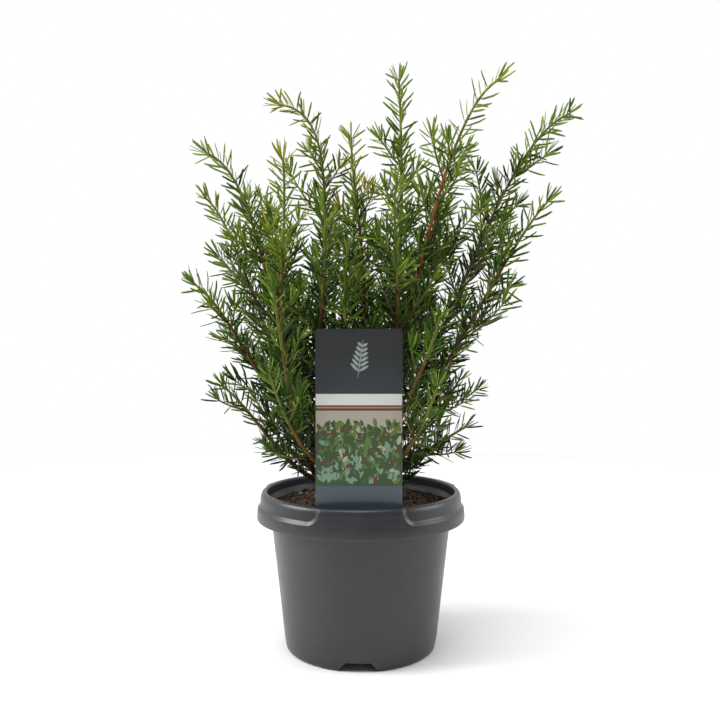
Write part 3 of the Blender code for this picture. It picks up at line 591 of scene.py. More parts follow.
def pot_corners(raised):
    """Corners (radius, height, fillet) of the pot's section, from under its hub round to its floor."""
    lift = CHANNEL_HEIGHT * raised

    def wall(height):
        return WALL_RADIUS_AT_GROUND + WALL_SLOPE * height

    zero = np.zeros_like(lift)
    return [
        (HUB_RADIUS + zero, zero, 0.0010),
        (CHANNEL_START + zero, lift, 0.0015),
        (SLOT_INNER + zero, lift, 0.0),
        (SLOT_OUTER + zero, lift, 0.0),
        (FOOT_RADIUS + 0.0018 * raised, lift, 0.0008),
        (0.0616 + 0.0009 * raised, 0.0018 + 0.0058 * raised, 0.0006),
        (wall(0.0090) + zero, 0.0090 + zero, 0.0020),
        (wall(0.0400) + zero, 0.0400 + zero, 0.0010),
        (wall(0.0750) + zero, 0.0750 + zero, 0.0010),
        (wall(RIM_BOTTOM) + zero, RIM_BOTTOM + zero, 0.0010),
        (wall(SHOULDER) + zero, SHOULDER + zero, 0.0010),
        (0.0784 + zero, 0.1210 + zero, 0.0006),
        (0.0787 + zero, 0.1262 + zero, 0.0004),
        (0.0810 + zero, 0.1262 + zero, 0.0006),
        (0.0816 + zero, SHOULDER + zero, 0.0010),
        (RIM_RADIUS - WALL + zero, 0.1080 + zero, 0.0008),
        (RIM_RADIUS - WALL + 0.0003 + zero, RIM_BOTTOM + zero, 0.0004),
        (RIM_RADIUS - 0.0003 + zero, RIM_BOTTOM + zero, 0.0004),
        (RIM_RADIUS + zero, 0.1080 + zero, 0.0008),
        (0.0850 + zero, 0.1125 + zero, 0.0010),
        (0.0848 + zero, 0.1148 + zero, 0.0007),
        (0.0846 + zero, 0.1164 + zero, 0.0006),
        (0.0845 + zero, 0.1180 + zero, 0.0006),
        (0.0843 + zero, 0.1196 + zero, 0.0006),
        (0.0841 + zero, 0.1214 + zero, 0.0006),
        (0.0839 + zero, 0.1234 + zero, 0.0006),
        (0.0837 + zero, 0.1255 + zero, 0.0010),
        (0.0826 + zero, 0.1283 + zero, 0.0012),
        (0.0812 + zero, RIM_TOP + zero, 0.0006),
        (MOUTH_RADIUS + zero, RIM_TOP + zero, 0.0005),
        (MOUTH_RADIUS - 0.0005 + zero, 0.1276 + zero, 0.0008),
        (0.0768 + zero, 0.1215 + zero, 0.0010),
        (wall(SHOULDER) - WALL + zero, SHOULDER + zero, 0.0020),
        (wall(0.0090) - WALL + zero, 0.0096 + zero, 0.0030),
        (FOOT_RADIUS - 0.0006 + zero, lift + WALL, 0.0010),
        (SLOT_OUTER + zero, lift + WALL, 0.0),
        (SLOT_INNER + zero, lift + WALL, 0.0),
        (CHANNEL_START + zero, lift + WALL, 0.0015),
        (HUB_RADIUS + zero, WALL + zero, 0.0010),
    ]


def rounded_section(corners, steps=2):
    """Rows of radius and height along a section whose corners are eased by quadratic curves.

    At each corner P with neighbours A and B, the curve runs from a fillet's
    length before P to a fillet's length after it, with P as its middle pull.
    """
    radius = np.array([corner[0] for corner in corners])
    height = np.array([corner[1] for corner in corners])
    rows_r, rows_z, marks = [], [], []
    for at, (_, _, fillet) in enumerate(corners):
        marks.append(len(rows_r))
        if fillet == 0.0 or at in (0, len(corners) - 1):
            rows_r.append(radius[at])
            rows_z.append(height[at])
            continue
        for t in np.linspace(0.0, 1.0, steps + 1):
            eased = []
            for line in (radius, height):
                span_in = np.hypot(radius[at] - radius[at - 1], height[at] - height[at - 1])
                span_out = np.hypot(radius[at + 1] - radius[at], height[at + 1] - height[at])
                into = line[at] + (line[at - 1] - line[at]) * np.minimum(fillet / span_in, 0.45)
                out = line[at] + (line[at + 1] - line[at]) * np.minimum(fillet / span_out, 0.45)
                eased.append((1 - t) ** 2 * into + 2 * (1 - t) * t * line[at] + t ** 2 * out)
            rows_r.append(eased[0])
            rows_z.append(eased[1])
    return np.array(rows_r), np.array(rows_z), marks


def pot_angles():
    """Angles round the pot: an even spread, denser at the panel's edges and the channels."""
    spread = [np.linspace(0.0, 360.0, 180, endpoint=False)]
    for sign in (-1, 1):
        spread.append((270.0 + sign * (PANEL_HALF_ANGLE + np.linspace(-1.0, 7.0, 25))) % 360.0)
        spread.append((270.0 + sign * (REAR_RIM_ANGLE + np.linspace(-7.0, 1.0, 25))) % 360.0)
    for channel in range(CHANNELS):
        centre = CHANNEL_TURN + 360.0 / CHANNELS * channel
        for flank in (CHANNEL_TOP_ANGLE, CHANNEL_FOOT_ANGLE):
            spread.append((centre + flank + np.linspace(-0.5, 0.5, 3)) % 360.0)
            spread.append((centre - flank + np.linspace(-0.5, 0.5, 3)) % 360.0)
    return np.unique(np.round(np.concatenate(spread), 3))


def channel_share(degrees):
    """1 over a drain channel, 0 beside it, with slanted flanks."""
    centre = (degrees - CHANNEL_TURN + 45.0) % 90.0 - 45.0
    return np.clip((CHANNEL_FOOT_ANGLE - np.abs(centre)) / (CHANNEL_FOOT_ANGLE - CHANNEL_TOP_ANGLE), 0, 1)


def recess_share(degrees, height):
    """How far the rim is set back: 1 beside the panel above the ledge, with rounded corners.

    The signed distance to a rounded rectangle in arc length and height, eased.
    """
    away = np.abs((degrees - 270.0 + 180.0) % 360.0 - 180.0)
    arc = np.radians(away) * RIM_RADIUS
    low, high = np.radians(PANEL_HALF_ANGLE) * RIM_RADIUS, np.radians(REAR_RIM_ANGLE) * RIM_RADIUS
    half = (high - low) / 2
    beside = np.abs(arc - (low + high) / 2) - (half - RECESS_CORNER)
    below = (RECESS_LEDGE + RECESS_CORNER) - height
    outside = np.hypot(np.maximum(beside, 0.0), np.maximum(below, 0.0)) - RECESS_CORNER
    inside = np.minimum(np.maximum(beside, below), 0.0)
    return smooth_step(0.0014, -0.0022, outside + inside)


def build_pot(settings):
    degrees = pot_angles()
    angles = np.radians(degrees)
    raised = channel_share(degrees)
    radius, height, marks = rounded_section(pot_corners(raised))
    outer_first, outer_last = marks[18], marks[29]
    rows = slice(outer_first, outer_last)
    radius[rows] -= RECESS * recess_share(degrees[None, :], height[rows])
    rng = np.random.default_rng(5)
    wave = ripple(rng, angles[None, :], height * 40.0, 5, (2, 7), (-1.0, 1.0))
    radius = radius + 0.00009 * wave * (height > 0.012)
    points = np.stack([radius * np.cos(angles), radius * np.sin(angles), height], axis=-1)
    count, columns = radius.shape
    quads = grid_quads(count, columns, True)
    under, floor = (marks[2], marks[3]), (marks[36], marks[35])
    row_of, column_of = quads[:, 0] // columns, quads[:, 0] % columns
    slotted = (raised[column_of] > 0.999) & (raised[quads[:, 1] % columns] > 0.999)
    open_cells = slotted & ((row_of == under[0]) | (row_of == floor[1]))
    kept = quads[~open_cells]
    sides = []
    starts = np.unique(column_of[open_cells])
    ends = (starts + 1) % columns
    for low, high, flip in ((under[0], floor[0], False), (under[1], floor[1], True)):
        wall = np.stack([low * columns + starts, high * columns + starts,
                         high * columns + ends, low * columns + ends], axis=-1)
        sides.append(wall[:, ::-1] if flip else wall)
    first = starts[~np.isin(starts, ends)]
    last = ends[~np.isin(ends, starts)]
    for edge, flip in ((first, True), (last, False)):
        wall = np.stack([under[0] * columns + edge, floor[0] * columns + edge,
                         floor[1] * columns + edge, under[1] * columns + edge], axis=-1)
        sides.append(wall[:, ::-1] if flip else wall)
    all_points = np.concatenate([points.reshape(-1, 3), [[0.0, 0.0, 0.0], [0.0, 0.0, WALL]]])
    column = np.arange(columns)
    after = (column + 1) % columns
    hub = np.full(columns, count * columns)
    fans = np.concatenate([np.stack([after, column, hub], axis=-1),
                           np.stack([(count - 1) * columns + column, (count - 1) * columns + after,
                                     hub + 1], axis=-1)])
    faces = [fans, np.concatenate([kept] + sides)]
    pot = new_piece("nursery_pot", all_points, faces, [pot_plastic(settings)])
    tidy_normals(pot)
    pot.data.set_sharp_from_angle(angle=math.radians(50))
    dress(pot, "pot", "pot")
    return pot


def tidy_normals(piece):
    """Turn every face of a closed surface outwards."""
    bm = bmesh.new()
    bm.from_mesh(piece.data)
    bmesh.ops.recalc_face_normals(bm, faces=bm.faces)
    bm.to_mesh(piece.data)
    bm.free()


# Soil


def soil_height(x, y):
    """Height of the peat's low dome, and the lumps on it: crossed sine waves of three sizes."""
    rng = np.random.default_rng(3)
    radius = np.hypot(x, y)
    dome = SOIL_TOP - (SOIL_TOP - SOIL_EDGE) * np.clip(radius / 0.0765, 0, 1) ** 2
    lumps = np.zeros_like(x)
    for size, strength in LUMPS:
        for _ in range(LUMP_WAVES):
            turn = rng.uniform(0, math.pi)
            phase = rng.uniform(0, 2 * math.pi, 2)
            along = (x * math.cos(turn) + y * math.sin(turn)) * 2 * math.pi / size
            across = (y * math.cos(turn) - x * math.sin(turn)) * 2 * math.pi / size
            lumps += strength / LUMP_WAVES * np.sin(along + phase[0]) * np.sin(across + phase[1]) * 2.0
    return dome, lumps


def build_soil(settings):
    """Top surface on a polar grid, with a side wall and a floor just inside the pot."""
    columns = SOIL_COLUMNS
    angles = np.linspace(0, 2 * math.pi, columns, endpoint=False)
    radii = np.linspace(0.0008, SOIL_RADIUS, SOIL_ROWS)
    x = radii[:, None] * np.cos(angles)
    y = radii[:, None] * np.sin(angles)
    dome, lumps = soil_height(x, y)
    fade = smooth_step(SOIL_RADIUS, SOIL_RADIUS - 0.004, radii)[:, None]
    z = dome + settings.relief * (lumps - 0.45) * fade - SOIL_SINK
    top = np.stack([x, y, z], axis=-1)
    degrees = np.degrees(angles)
    lift = CHANNEL_HEIGHT * channel_share(degrees)
    floor = lift + WALL + GAP
    zero = np.zeros(columns)
    below = [(WALL_RADIUS_AT_GROUND + WALL_SLOPE * SHOULDER - WALL - GAP + zero, SHOULDER + GAP + zero),
             (WALL_RADIUS_AT_GROUND + WALL_SLOPE * 0.009 - WALL - GAP + zero, 0.0100 + zero),
             (FOOT_RADIUS - 0.0006 - GAP + zero, floor),
             (CHANNEL_START + zero, floor),
             (HUB_RADIUS + zero, WALL + GAP + zero)]
    lower = np.stack([np.stack([r * np.cos(angles), r * np.sin(angles), h], axis=-1) for r, h in below])
    points = np.concatenate([top, lower]).reshape(-1, 3)
    rows = len(radii) + len(below)
    quads = grid_quads(rows, columns, True)
    centre_top = np.array([[0.0, 0.0, z[0].mean()], [0.0, 0.0, WALL + GAP]])
    column = np.arange(columns)
    after = (column + 1) % columns
    ends = np.full(columns, rows * columns)
    fans = np.concatenate([np.stack([column, after, ends], axis=-1),
                           np.stack([(rows - 1) * columns + after, (rows - 1) * columns + column,
                                     ends + 1], axis=-1)])
    soil = new_piece("peat_fill", np.concatenate([points, centre_top]), [fans, quads], [peat(settings)])
    tidy_normals(soil)
    dress(soil, "soil", "soil")
    build_crumbs(settings)
    return soil


def build_crumbs(settings):
    """Loose crumbs: squashed, jittered octahedra, strewn evenly over the peat."""
    rng = np.random.default_rng(17)
    count = settings.crumbs
    corners = np.array([[1, 0, 0], [-1, 0, 0], [0, 1, 0], [0, -1, 0], [0, 0, 1], [0, 0, -1]], dtype=float)
    sides = np.array([[0, 2, 4], [2, 1, 4], [1, 3, 4], [3, 0, 4], [2, 0, 5], [1, 2, 5], [3, 1, 5], [0, 3, 5]])
    reach = 0.0745 * np.sqrt(rng.uniform(0.0, 1.0, count))
    turn = rng.uniform(0, 2 * math.pi, count)
    x, y = reach * np.cos(turn), reach * np.sin(turn)
    clear = np.hypot(x - TRUNK_FOOT[0], y - TRUNK_FOOT[1]) > 0.0135
    clear &= ~((np.abs(x - LABEL_CENTRE_X) < 0.014) & (np.abs(y - LABEL_Y) < 0.004))
    x, y = x[clear], y[clear]
    count = len(x)
    dome, lumps = soil_height(x, y)
    size = 0.0006 + 0.0018 * rng.uniform(0, 1, count) ** 3
    z = dome + settings.relief * (lumps - 0.45) - SOIL_SINK + 0.25 * size
    shape = corners[None] * rng.uniform(0.6, 1.25, (count, 6, 1)) * size[:, None, None]
    spin = rng.uniform(0, 2 * math.pi, count)
    turned = np.stack([shape[..., 0] * np.cos(spin)[:, None] - shape[..., 1] * np.sin(spin)[:, None],
                       shape[..., 0] * np.sin(spin)[:, None] + shape[..., 1] * np.cos(spin)[:, None],
                       0.75 * shape[..., 2]], axis=-1)
    points = (turned + np.stack([x, y, z], axis=-1)[:, None, :]).reshape(-1, 3)
    faces = (sides[None] + 6 * np.arange(count)[:, None, None]).reshape(-1, 3)
    kinds = rng.choice(4, count, p=(0.46, 0.36, 0.13, 0.05))
    tints = [("crumb_dark", (0.010, 0.006, 0.004)), ("crumb_red", (0.075, 0.026, 0.010)),
             ("crumb_tan", (0.140, 0.070, 0.035)), ("crumb_pale", (0.360, 0.300, 0.230))]
    materials = [plain_material(name, colour, 0.9) for name, colour in tints]
    crumbs = new_piece("peat_crumbs", points, [faces], materials, np.repeat(kinds, 8), smooth=False)
    dress(crumbs, "soil")
    return crumbs


# Label


def card_half_width(height):
    """Half the card's width at a height: rounded head, shoulders and pointed spike."""
    half = LABEL_WIDTH / 2
    into_corner = np.clip(height - (LABEL_TOP - LABEL_CORNER), 0.0, LABEL_CORNER)
    head = half - LABEL_CORNER + np.sqrt(np.maximum(LABEL_CORNER ** 2 - into_corner ** 2, 0.0))
    shoulder = half - SHOULDER_CUT + (height - LABEL_SHOULDER)
    spike = SPIKE_WIDTH / 2 * np.clip((height - SPIKE_TIP) / SPIKE_POINT, 0.02, 1.0)
    return np.where(height >= LABEL_SHOULDER, np.minimum(head, shoulder), spike)


def build_label(settings):
    """A thin flat card: its half width at each height, as a front and a back."""
    heights = np.concatenate([LABEL_TOP - LABEL_CORNER * (1 - np.cos(np.linspace(0, math.pi / 2, 7))),
                              np.linspace(LABEL_TOP - 0.006, LABEL_SHOULDER + SHOULDER_CUT, 14),
                              [LABEL_SHOULDER + 0.002, LABEL_SHOULDER, LABEL_SHOULDER - 0.0002],
                              np.linspace(LABEL_SHOULDER - 0.004, SPIKE_TIP, 10)])
    across = np.linspace(-1.0, 1.0, 17)
    x = LABEL_CENTRE_X + card_half_width(heights)[:, None] * across
    z = np.broadcast_to(heights[:, None], x.shape)
    front = np.stack([x, np.full(x.shape, LABEL_Y - LABEL_THICK / 2), z], axis=-1)
    back = np.stack([x, np.full(x.shape, LABEL_Y + LABEL_THICK / 2), z], axis=-1)
    ring = np.concatenate([front, back[:, ::-1]], axis=1)
    rows, columns = ring.shape[:2]
    quads = grid_quads(rows, columns, True)
    half = columns // 2
    cell = np.arange(half - 1)
    ends = []
    for row, flip in ((0, False), (rows - 1, True)):
        block = np.stack([row * columns + cell, row * columns + cell + 1,
                          row * columns + columns - 2 - cell, row * columns + columns - 1 - cell], axis=-1)
        ends.append(block[:, ::-1] if flip else block)
    label = new_piece("label_card", ring.reshape(-1, 3), [np.concatenate([quads] + ends)], [card(settings)])
    tidy_normals(label)
    label.data.set_sharp_from_angle(angle=math.radians(40))
    dress(label, "label", "label")
    build_print(settings)
    return label


def inlay(outline, lift=PRINT_LIFT):
    """A flat shape printed on the card, as a thin fan in front of it."""
    outline = np.asarray(outline)
    centre = outline.mean(axis=0)
    ring = np.concatenate([outline, [centre]])
    y = np.full(len(ring), LABEL_Y - LABEL_THICK / 2 - lift)
    count = len(outline)
    first = np.arange(count)
    points = np.stack([ring[:, 0], y, ring[:, 1]], axis=-1)
    return points, np.stack([first, (first + 1) % count, np.full(count, count)], axis=-1)


def leaflet(root, turn, length, width):
    """A lens: two arcs that meet at both ends, as a closed outline."""
    t = np.linspace(0.0, 1.0, 9)
    side = width / 2 * np.sin(math.pi * t) ** 0.8
    along, across = length * np.r_[t, t[-2:0:-1]], np.r_[side, -side[-2:0:-1]]
    c, s = math.cos(turn), math.sin(turn)
    return np.stack([root[0] + along * c - across * s, root[1] + along * s + across * c], axis=-1)


def strip(low, high, half_width):
    """A straight band across the card."""
    x = LABEL_CENTRE_X + np.linspace(-half_width, half_width, 12)
    return np.concatenate([np.stack([x, np.full(12, low)], axis=-1),
                           np.stack([x[::-1], np.full(12, high)], axis=-1)])


def build_print(settings):
    """The plain design: a sprig at the head, a pale band with a thin rule, and round dabs below."""
    parts = []

    def add(outline, material, lift=PRINT_LIFT):
        points, faces = inlay(outline, lift)
        parts.append((points, [faces], np.full(len(faces), material)))

    half = LABEL_WIDTH / 2 - 0.0003
    foot = (LABEL_CENTRE_X - 0.0010, 0.2240)
    rise = math.radians(82)
    stalk = 0.0265
    add(leaflet(foot, rise, stalk + 0.004, 0.0009), 0)
    for pair in range(6):
        root = (foot[0] + math.cos(rise) * stalk * (0.22 + 0.14 * pair),
                foot[1] + math.sin(rise) * stalk * (0.22 + 0.14 * pair))
        for side in (-1, 1):
            add(leaflet(root, rise + side * math.radians(52), 0.0088 - 0.0008 * pair, 0.0022), 0)
    add(strip(0.2045, 0.2130, half), 1)
    add(strip(0.2022, 0.2033, half), 2)
    add(strip(0.1840, 0.2005, half), 6)
    add(strip(0.1440, 0.1840, half), 4)
    rng = np.random.default_rng(8)
    ups = np.sort(rng.uniform(0.0, 1.0, DABS))[::-1]
    for number, up in enumerate(ups):
        length = rng.uniform(0.0045, 0.0085)
        turn = rng.uniform(0.25, math.pi - 0.25)
        room = half - 0.0012 - abs(math.cos(turn)) * length
        x = LABEL_CENTRE_X + rng.uniform(-1, 1) * half
        x = min(max(x, LABEL_CENTRE_X - room), LABEL_CENTRE_X + room)
        z = 0.1450 + (0.1890 - 0.1450) * up
        chances = np.array((0.34 * up + 0.10, 0.40, 0.10, 0.02 + 0.04 * up, 0.42 * (1 - up) ** 2))
        material = 3 + rng.choice(5, p=chances / chances.sum())
        add(leaflet((x, z), turn, length, 0.42 * length), material, 0.00008 + 0.0000006 * number)
    points, faces, which = join_parts(parts)
    tints = [("print_sprig", (0.300, 0.360, 0.350)), ("print_band", settings.band),
             ("print_rule", settings.rule), ("print_green", (0.100, 0.175, 0.030)),
             ("print_moss", (0.035, 0.075, 0.020)), ("print_red", (0.130, 0.028, 0.022)),
             ("print_cream", (0.420, 0.370, 0.300)), ("print_mint", (0.170, 0.300, 0.210))]
    materials = [plain_material(name, colour, 0.38) for name, colour in tints]
    design = new_piece("label_print", points, faces, materials, which, smooth=False)
    dress(design, "label")
    return design


# Growth, by the rule of the solids


def heading(azimuth, rise):
    """Unit vector from an azimuth in the ground plane and a rise above it."""
    around, up = math.radians(azimuth), math.radians(rise)
    return np.array([math.cos(around) * math.cos(up), math.sin(around) * math.cos(up), math.sin(up)])


def path_length(path):
    return np.r_[0.0, np.cumsum(np.linalg.norm(np.diff(path, axis=0), axis=1))]


def path_points(path, distances):
    """Points at given distances along a path."""
    along = path_length(path)
    return np.stack([np.interp(distances, along, path[:, axis]) for axis in range(3)], axis=1)


def frames_along(path):
    """Two cross directions at each point of a path, carried along without twist."""
    tangents = np.gradient(path, axis=0)
    tangents /= np.linalg.norm(tangents, axis=1)[:, None]
    start = np.cross(tangents[0], UP)
    if np.linalg.norm(start) < 0.05:
        start = np.array([1.0, 0.0, 0.0])
    across = [start / np.linalg.norm(start)]
    for tangent in tangents[1:]:
        side = across[-1] - tangent * np.dot(across[-1], tangent)
        across.append(side / np.linalg.norm(side))
    across = np.array(across)
    return tangents, across, np.cross(tangents, across)


def cubic(start, leave, arrive, pulls, tip, samples=SHOOT_SAMPLES):
    """A cubic curve from start to tip that leaves and arrives along two headings."""
    span = np.linalg.norm(tip - start)
    first = start + leave * span * pulls[0]
    last = tip - arrive * span * pulls[1]
    t = np.linspace(0.0, 1.0, samples)[:, None]
    return (1 - t) ** 3 * start + 3 * (1 - t) ** 2 * t * first + 3 * (1 - t) * t ** 2 * last + t ** 3 * tip


def trunk_centre(height):
    share = (height - TRUNK_FOOT[2]) / (TRUNK_FORK[2] - TRUNK_FOOT[2])
    return TRUNK_FOOT + (TRUNK_FORK - TRUNK_FOOT) * share


def lobe_fade(height):
    """How strongly the root lobes show at a height: 1 at the soil, 0 above the flare."""
    return max(0.0, 1.0 - (height - TRUNK_FOOT[2]) / FLARE_HEIGHT)


def trunk_radius(height):
    """Flared at the foot, then an even taper to the fork."""
    share = (height - TRUNK_FOOT[2]) / (TRUNK_FORK[2] - TRUNK_FOOT[2])
    taper = TRUNK_RADIUS + (TRUNK_FORK_RADIUS - TRUNK_RADIUS) * share
    return taper + (TRUNK_FOOT_RADIUS - TRUNK_RADIUS) * lobe_fade(height) ** 2


def trunk_corners(height):
    """Corners of the trunk's section, from its centre."""
    lean = (TRUNK_FORK - TRUNK_FOOT) / np.linalg.norm(TRUNK_FORK - TRUNK_FOOT)
    across = np.cross(lean, UP)
    across /= np.linalg.norm(across)
    over = np.cross(lean, across)
    angles = np.arange(TRUNK_SIDES) * 2 * math.pi / TRUNK_SIDES
    radii = trunk_radius(height) * (1.0 + FLARE_DEPTH * lobe_fade(height) * np.cos(FLARE_LOBES * angles))
    return radii[:, None] * (np.cos(angles)[:, None] * across + np.sin(angles)[:, None] * over)


def trunk_reach(height, outward, half_width):
    """How far the trunk stands out along a direction, over a limb's width."""
    corners = trunk_corners(height)
    shares = np.linspace(0.0, 1.0, 9)[:, None, None]
    edge_points = (corners + (np.roll(corners, -1, axis=0) - corners) * shares).reshape(-1, 3)
    aside = np.abs(edge_points @ np.cross(outward, UP))
    forward = edge_points @ outward
    return forward[(aside < half_width) & (forward > 0.0)].max()


def shoot_start(shoot, boughs):
    """Where a shoot leaves its parent."""
    if shoot.parent == "trunk":
        outward = heading(shoot.leave[0], 0.0)
        thick = BOUGH_RADIUS if shoot.bare else STEM_RADIUS
        reach = trunk_reach(shoot.place - thick, outward, thick) + GAP
        return trunk_centre(shoot.place) + outward * reach
    path, radii = boughs[shoot.parent]
    distance = path_length(path)[-1] * shoot.place
    here, ahead = path_points(path, [distance, distance + 0.001])
    tangent = (ahead - here) / np.linalg.norm(ahead - here)
    outward = heading(*shoot.leave)
    outward = outward - tangent * np.dot(outward, tangent)
    outward /= np.linalg.norm(outward)
    return here + outward * (np.interp(distance, path_length(path), radii) + GAP)


def grow_shoots():
    """Bough path and leafy stem path of every shoot, parents first."""
    boughs, stems = {}, {}
    for shoot in SHOOTS:
        start = shoot_start(shoot, boughs)
        path = cubic(start, heading(*shoot.leave), heading(*shoot.arrive), shoot.pulls, np.array(shoot.tip))
        whole = path_length(path)[-1]
        if shoot.bare:
            spots = np.linspace(0.0, shoot.bare, BOUGH_SPANS + 1)
            thick = BOUGH_RADIUS if shoot.parent == "trunk" else SIDE_BOUGH_RADIUS
            radii = np.linspace(thick, BOUGH_TIP_RADIUS if thick == BOUGH_RADIUS else STEM_RADIUS, len(spots))
            boughs[shoot.name] = (path_points(path, spots), radii)
            stems[shoot.name] = path_points(path, np.linspace(shoot.bare + GAP, whole, SHOOT_SAMPLES))
        else:
            stems[shoot.name] = path
    return boughs, stems


def twig_path(stem, share, turn, length, samples=21):
    """A side twig: it leaves at an angle, then lifts towards the light."""
    along = path_length(stem)
    here, ahead = path_points(stem, [along[-1] * share, along[-1] * share + 0.002])
    tangent = (ahead - here) / np.linalg.norm(ahead - here)
    outward = np.cross(np.cross(tangent, (here[0], here[1], 0.001)), tangent)
    outward /= np.linalg.norm(outward)
    sideways = np.cross(tangent, outward)
    facing = math.cos(turn) * outward + math.sin(turn) * sideways
    lean = math.radians(TWIG_LEAVE)
    leave = math.cos(lean) * tangent + math.sin(lean) * facing
    arrive = leave + TWIG_LIFT * UP
    arrive /= np.linalg.norm(arrive)
    middle = leave + arrive
    tip = here + middle / np.linalg.norm(middle) * length
    return cubic(here, leave, arrive, (0.35, 0.35), tip, samples)


def nearest(points, cloud):
    """Distance from each point to the nearest point of a cloud."""
    return np.sqrt(((points[:, None, :] - cloud[None, :, :]) ** 2).sum(axis=2)).min(axis=1)


def clear_of_things(points, room):
    """True for points that keep clear of pot, soil, label and ground."""
    x, y, z = points.T
    radius = np.hypot(x, y)
    over_soil = z > SOIL_TOP + 0.0016 + room
    off_rim = (radius < MOUTH_RADIUS - 0.004 - room) | (z > RIM_TOP + 0.0016 + room)
    beside_label = (np.abs(x - LABEL_CENTRE_X) > LABEL_WIDTH / 2 + 0.002 + room) | \
                   (np.abs(y - LABEL_Y) > 0.0022 + room) | (z > LABEL_TOP + 0.002 + room)
    return over_soil & off_rim & beside_label


def grow_twigs(boughs, stems):
    """Side twigs of every mass, at the solids' places. A twig without room is skipped."""
    limb_points = np.concatenate([path_points(path, np.linspace(0, path_length(path)[-1], 16))
                                  for path, _ in boughs.values()]
                                 + [np.array([trunk_centre(z) for z in np.linspace(0.12, 0.162, 12)])])
    twigs = {shoot.name: [] for shoot in SHOOTS}
    for shoot in SHOOTS:
        rng = random.Random(shoot.name)
        stem = stems[shoot.name]
        whole = path_length(stem)[-1]
        for count in range(shoot.twigs):
            share = TWIG_FROM + TWIG_SPREAD * (count + rng.uniform(0.2, 0.8)) / shoot.twigs
            turn = math.radians(shoot.turn + GOLDEN_ANGLE * count)
            length = max(TWIG_SHORTEST, whole * TWIG_SHARE * (1.0 - share) * rng.uniform(0.85, 1.15))
            twig = twig_path(stem, share, turn, length)
            outer = twig[6:]
            others = [stems[name] for name in stems if name != shoot.name]
            others += [twig for name, grown in twigs.items() for twig in grown]
            if nearest(outer, np.concatenate(others)).min() < TWIG_ROOM:
                continue
            if nearest(outer, limb_points).min() < TWIG_ROOM:
                continue
            if not clear_of_things(outer, 0.004).all():
                continue
            twigs[shoot.name].append(twig)
    return twigs


def grow_fine_twigs(shoot, stem, spacing):
    """Finer twigs between the main ones, shorter towards the tip, by the same rule."""
    rng = random.Random(shoot.name + " fine")
    whole = path_length(stem)[-1]
    if shoot.name in SPARSE:
        spacing *= SPARSE_SPACING
    count = int(whole * FINE_SPREAD / spacing)
    grown = []
    for number in range(count):
        share = FINE_FROM + FINE_SPREAD * (number + rng.uniform(0.1, 0.9)) / max(count, 1)
        turn = math.radians(shoot.turn + FINE_TURN + GOLDEN_ANGLE * number)
        length = rng.uniform(*FINE_LENGTHS) * (1.2 - 0.7 * share)
        twig = twig_path(stem, share, turn, length, 9)
        if clear_of_things(twig[3:], 0.003).all() and not before_label(twig).any():
            grown.append(twig)
    return grown


# Wood


def tube(path, radii, sides, relief=None):
    """A round surface along a path: at each point a ring of the given radius, times the relief.

    The last ring closes in a point half a radius further on, the first in a flat fan.
    """
    tangents, across, over = frames_along(path)
    angles = np.linspace(0, 2 * math.pi, sides, endpoint=False)
    scale = np.asarray(radii)[:, None] * (np.ones((len(path), sides)) if relief is None else relief)
    rings = path[:, None, :] + scale[..., None] * (np.cos(angles)[None, :, None] * across[:, None, :]
                                                   + np.sin(angles)[None, :, None] * over[:, None, :])
    tip = path[-1] + tangents[-1] * radii[-1] * 0.5
    points = np.concatenate([rings.reshape(-1, 3), [path[0], tip]])
    quads = grid_quads(len(path), sides, True)
    side = np.arange(sides)
    after = (side + 1) % sides
    last = (len(path) - 1) * sides
    base = len(path) * sides
    fans = np.concatenate([np.stack([after, side, np.full(sides, base)], axis=-1),
                           np.stack([last + side, last + after, np.full(sides, base + 1)], axis=-1)])
    return points, fans, quads


def trunk_surface(rng):
    """The trunk: its tapering, lobed section with furrows and flakes of bark along it."""
    sides, rows = 64, 90
    heights = np.linspace(TRUNK_FOOT[2], TRUNK_FORK[2] + 0.0010, rows)
    centres = np.array([trunk_centre(height) for height in heights])
    radii = np.array([trunk_radius(height) for height in heights])
    angles = np.linspace(0, 2 * math.pi, sides, endpoint=False)
    fade = np.array([lobe_fade(height) for height in heights])[:, None]
    lobes = 1.0 + FLARE_DEPTH * fade * np.cos(FLARE_LOBES * angles)[None, :]
    furrows = ripple(rng, angles[None, :], heights[:, None], 9, (5, 15), (-260.0, 260.0))
    flakes = ripple(rng, angles[None, :], heights[:, None], 9, (8, 26), (-900.0, 900.0))
    end = smooth_step(TRUNK_FORK[2] + 0.0012, TRUNK_FORK[2] - 0.0030, heights)[:, None]
    relief = lobes * (1.0 + 0.028 * np.tanh(furrows) + 0.014 * flakes - 0.04) * (0.55 + 0.45 * end)
    return tube(centres, radii, sides, relief)


def bough_surface(rng, shoot, path, radii):
    """A bough: it roots inside its parent, and carries scars of old needles in a spiral."""
    inward = path[0] - (path[1] - path[0]) / np.linalg.norm(path[1] - path[0]) * 0.004
    if shoot.parent == "trunk":
        inward = trunk_centre(shoot.place - 0.002) * 0.6 + path[0] * 0.4
    whole_path = np.concatenate([[inward], path])
    whole_radii = np.r_[radii[0], radii]
    along = path_length(whole_path)
    spots = np.linspace(0.0, along[-1], max(24, int(along[-1] / 0.0009)))
    fine = path_points(whole_path, spots)
    sides = 20
    angles = np.linspace(0, 2 * math.pi, sides, endpoint=False)
    turns = np.interp(spots, along, whole_radii)
    scars = np.cos(angles[None, :] * 2 - spots[:, None] * 2 * math.pi / 0.0046) ** 8
    rough = ripple(rng, angles[None, :], spots[:, None], 8, (2, 7), (-900.0, 900.0))
    relief = 1.0 + 0.07 * scars + 0.035 * rough - 0.03
    return tube(fine, turns, sides, relief)


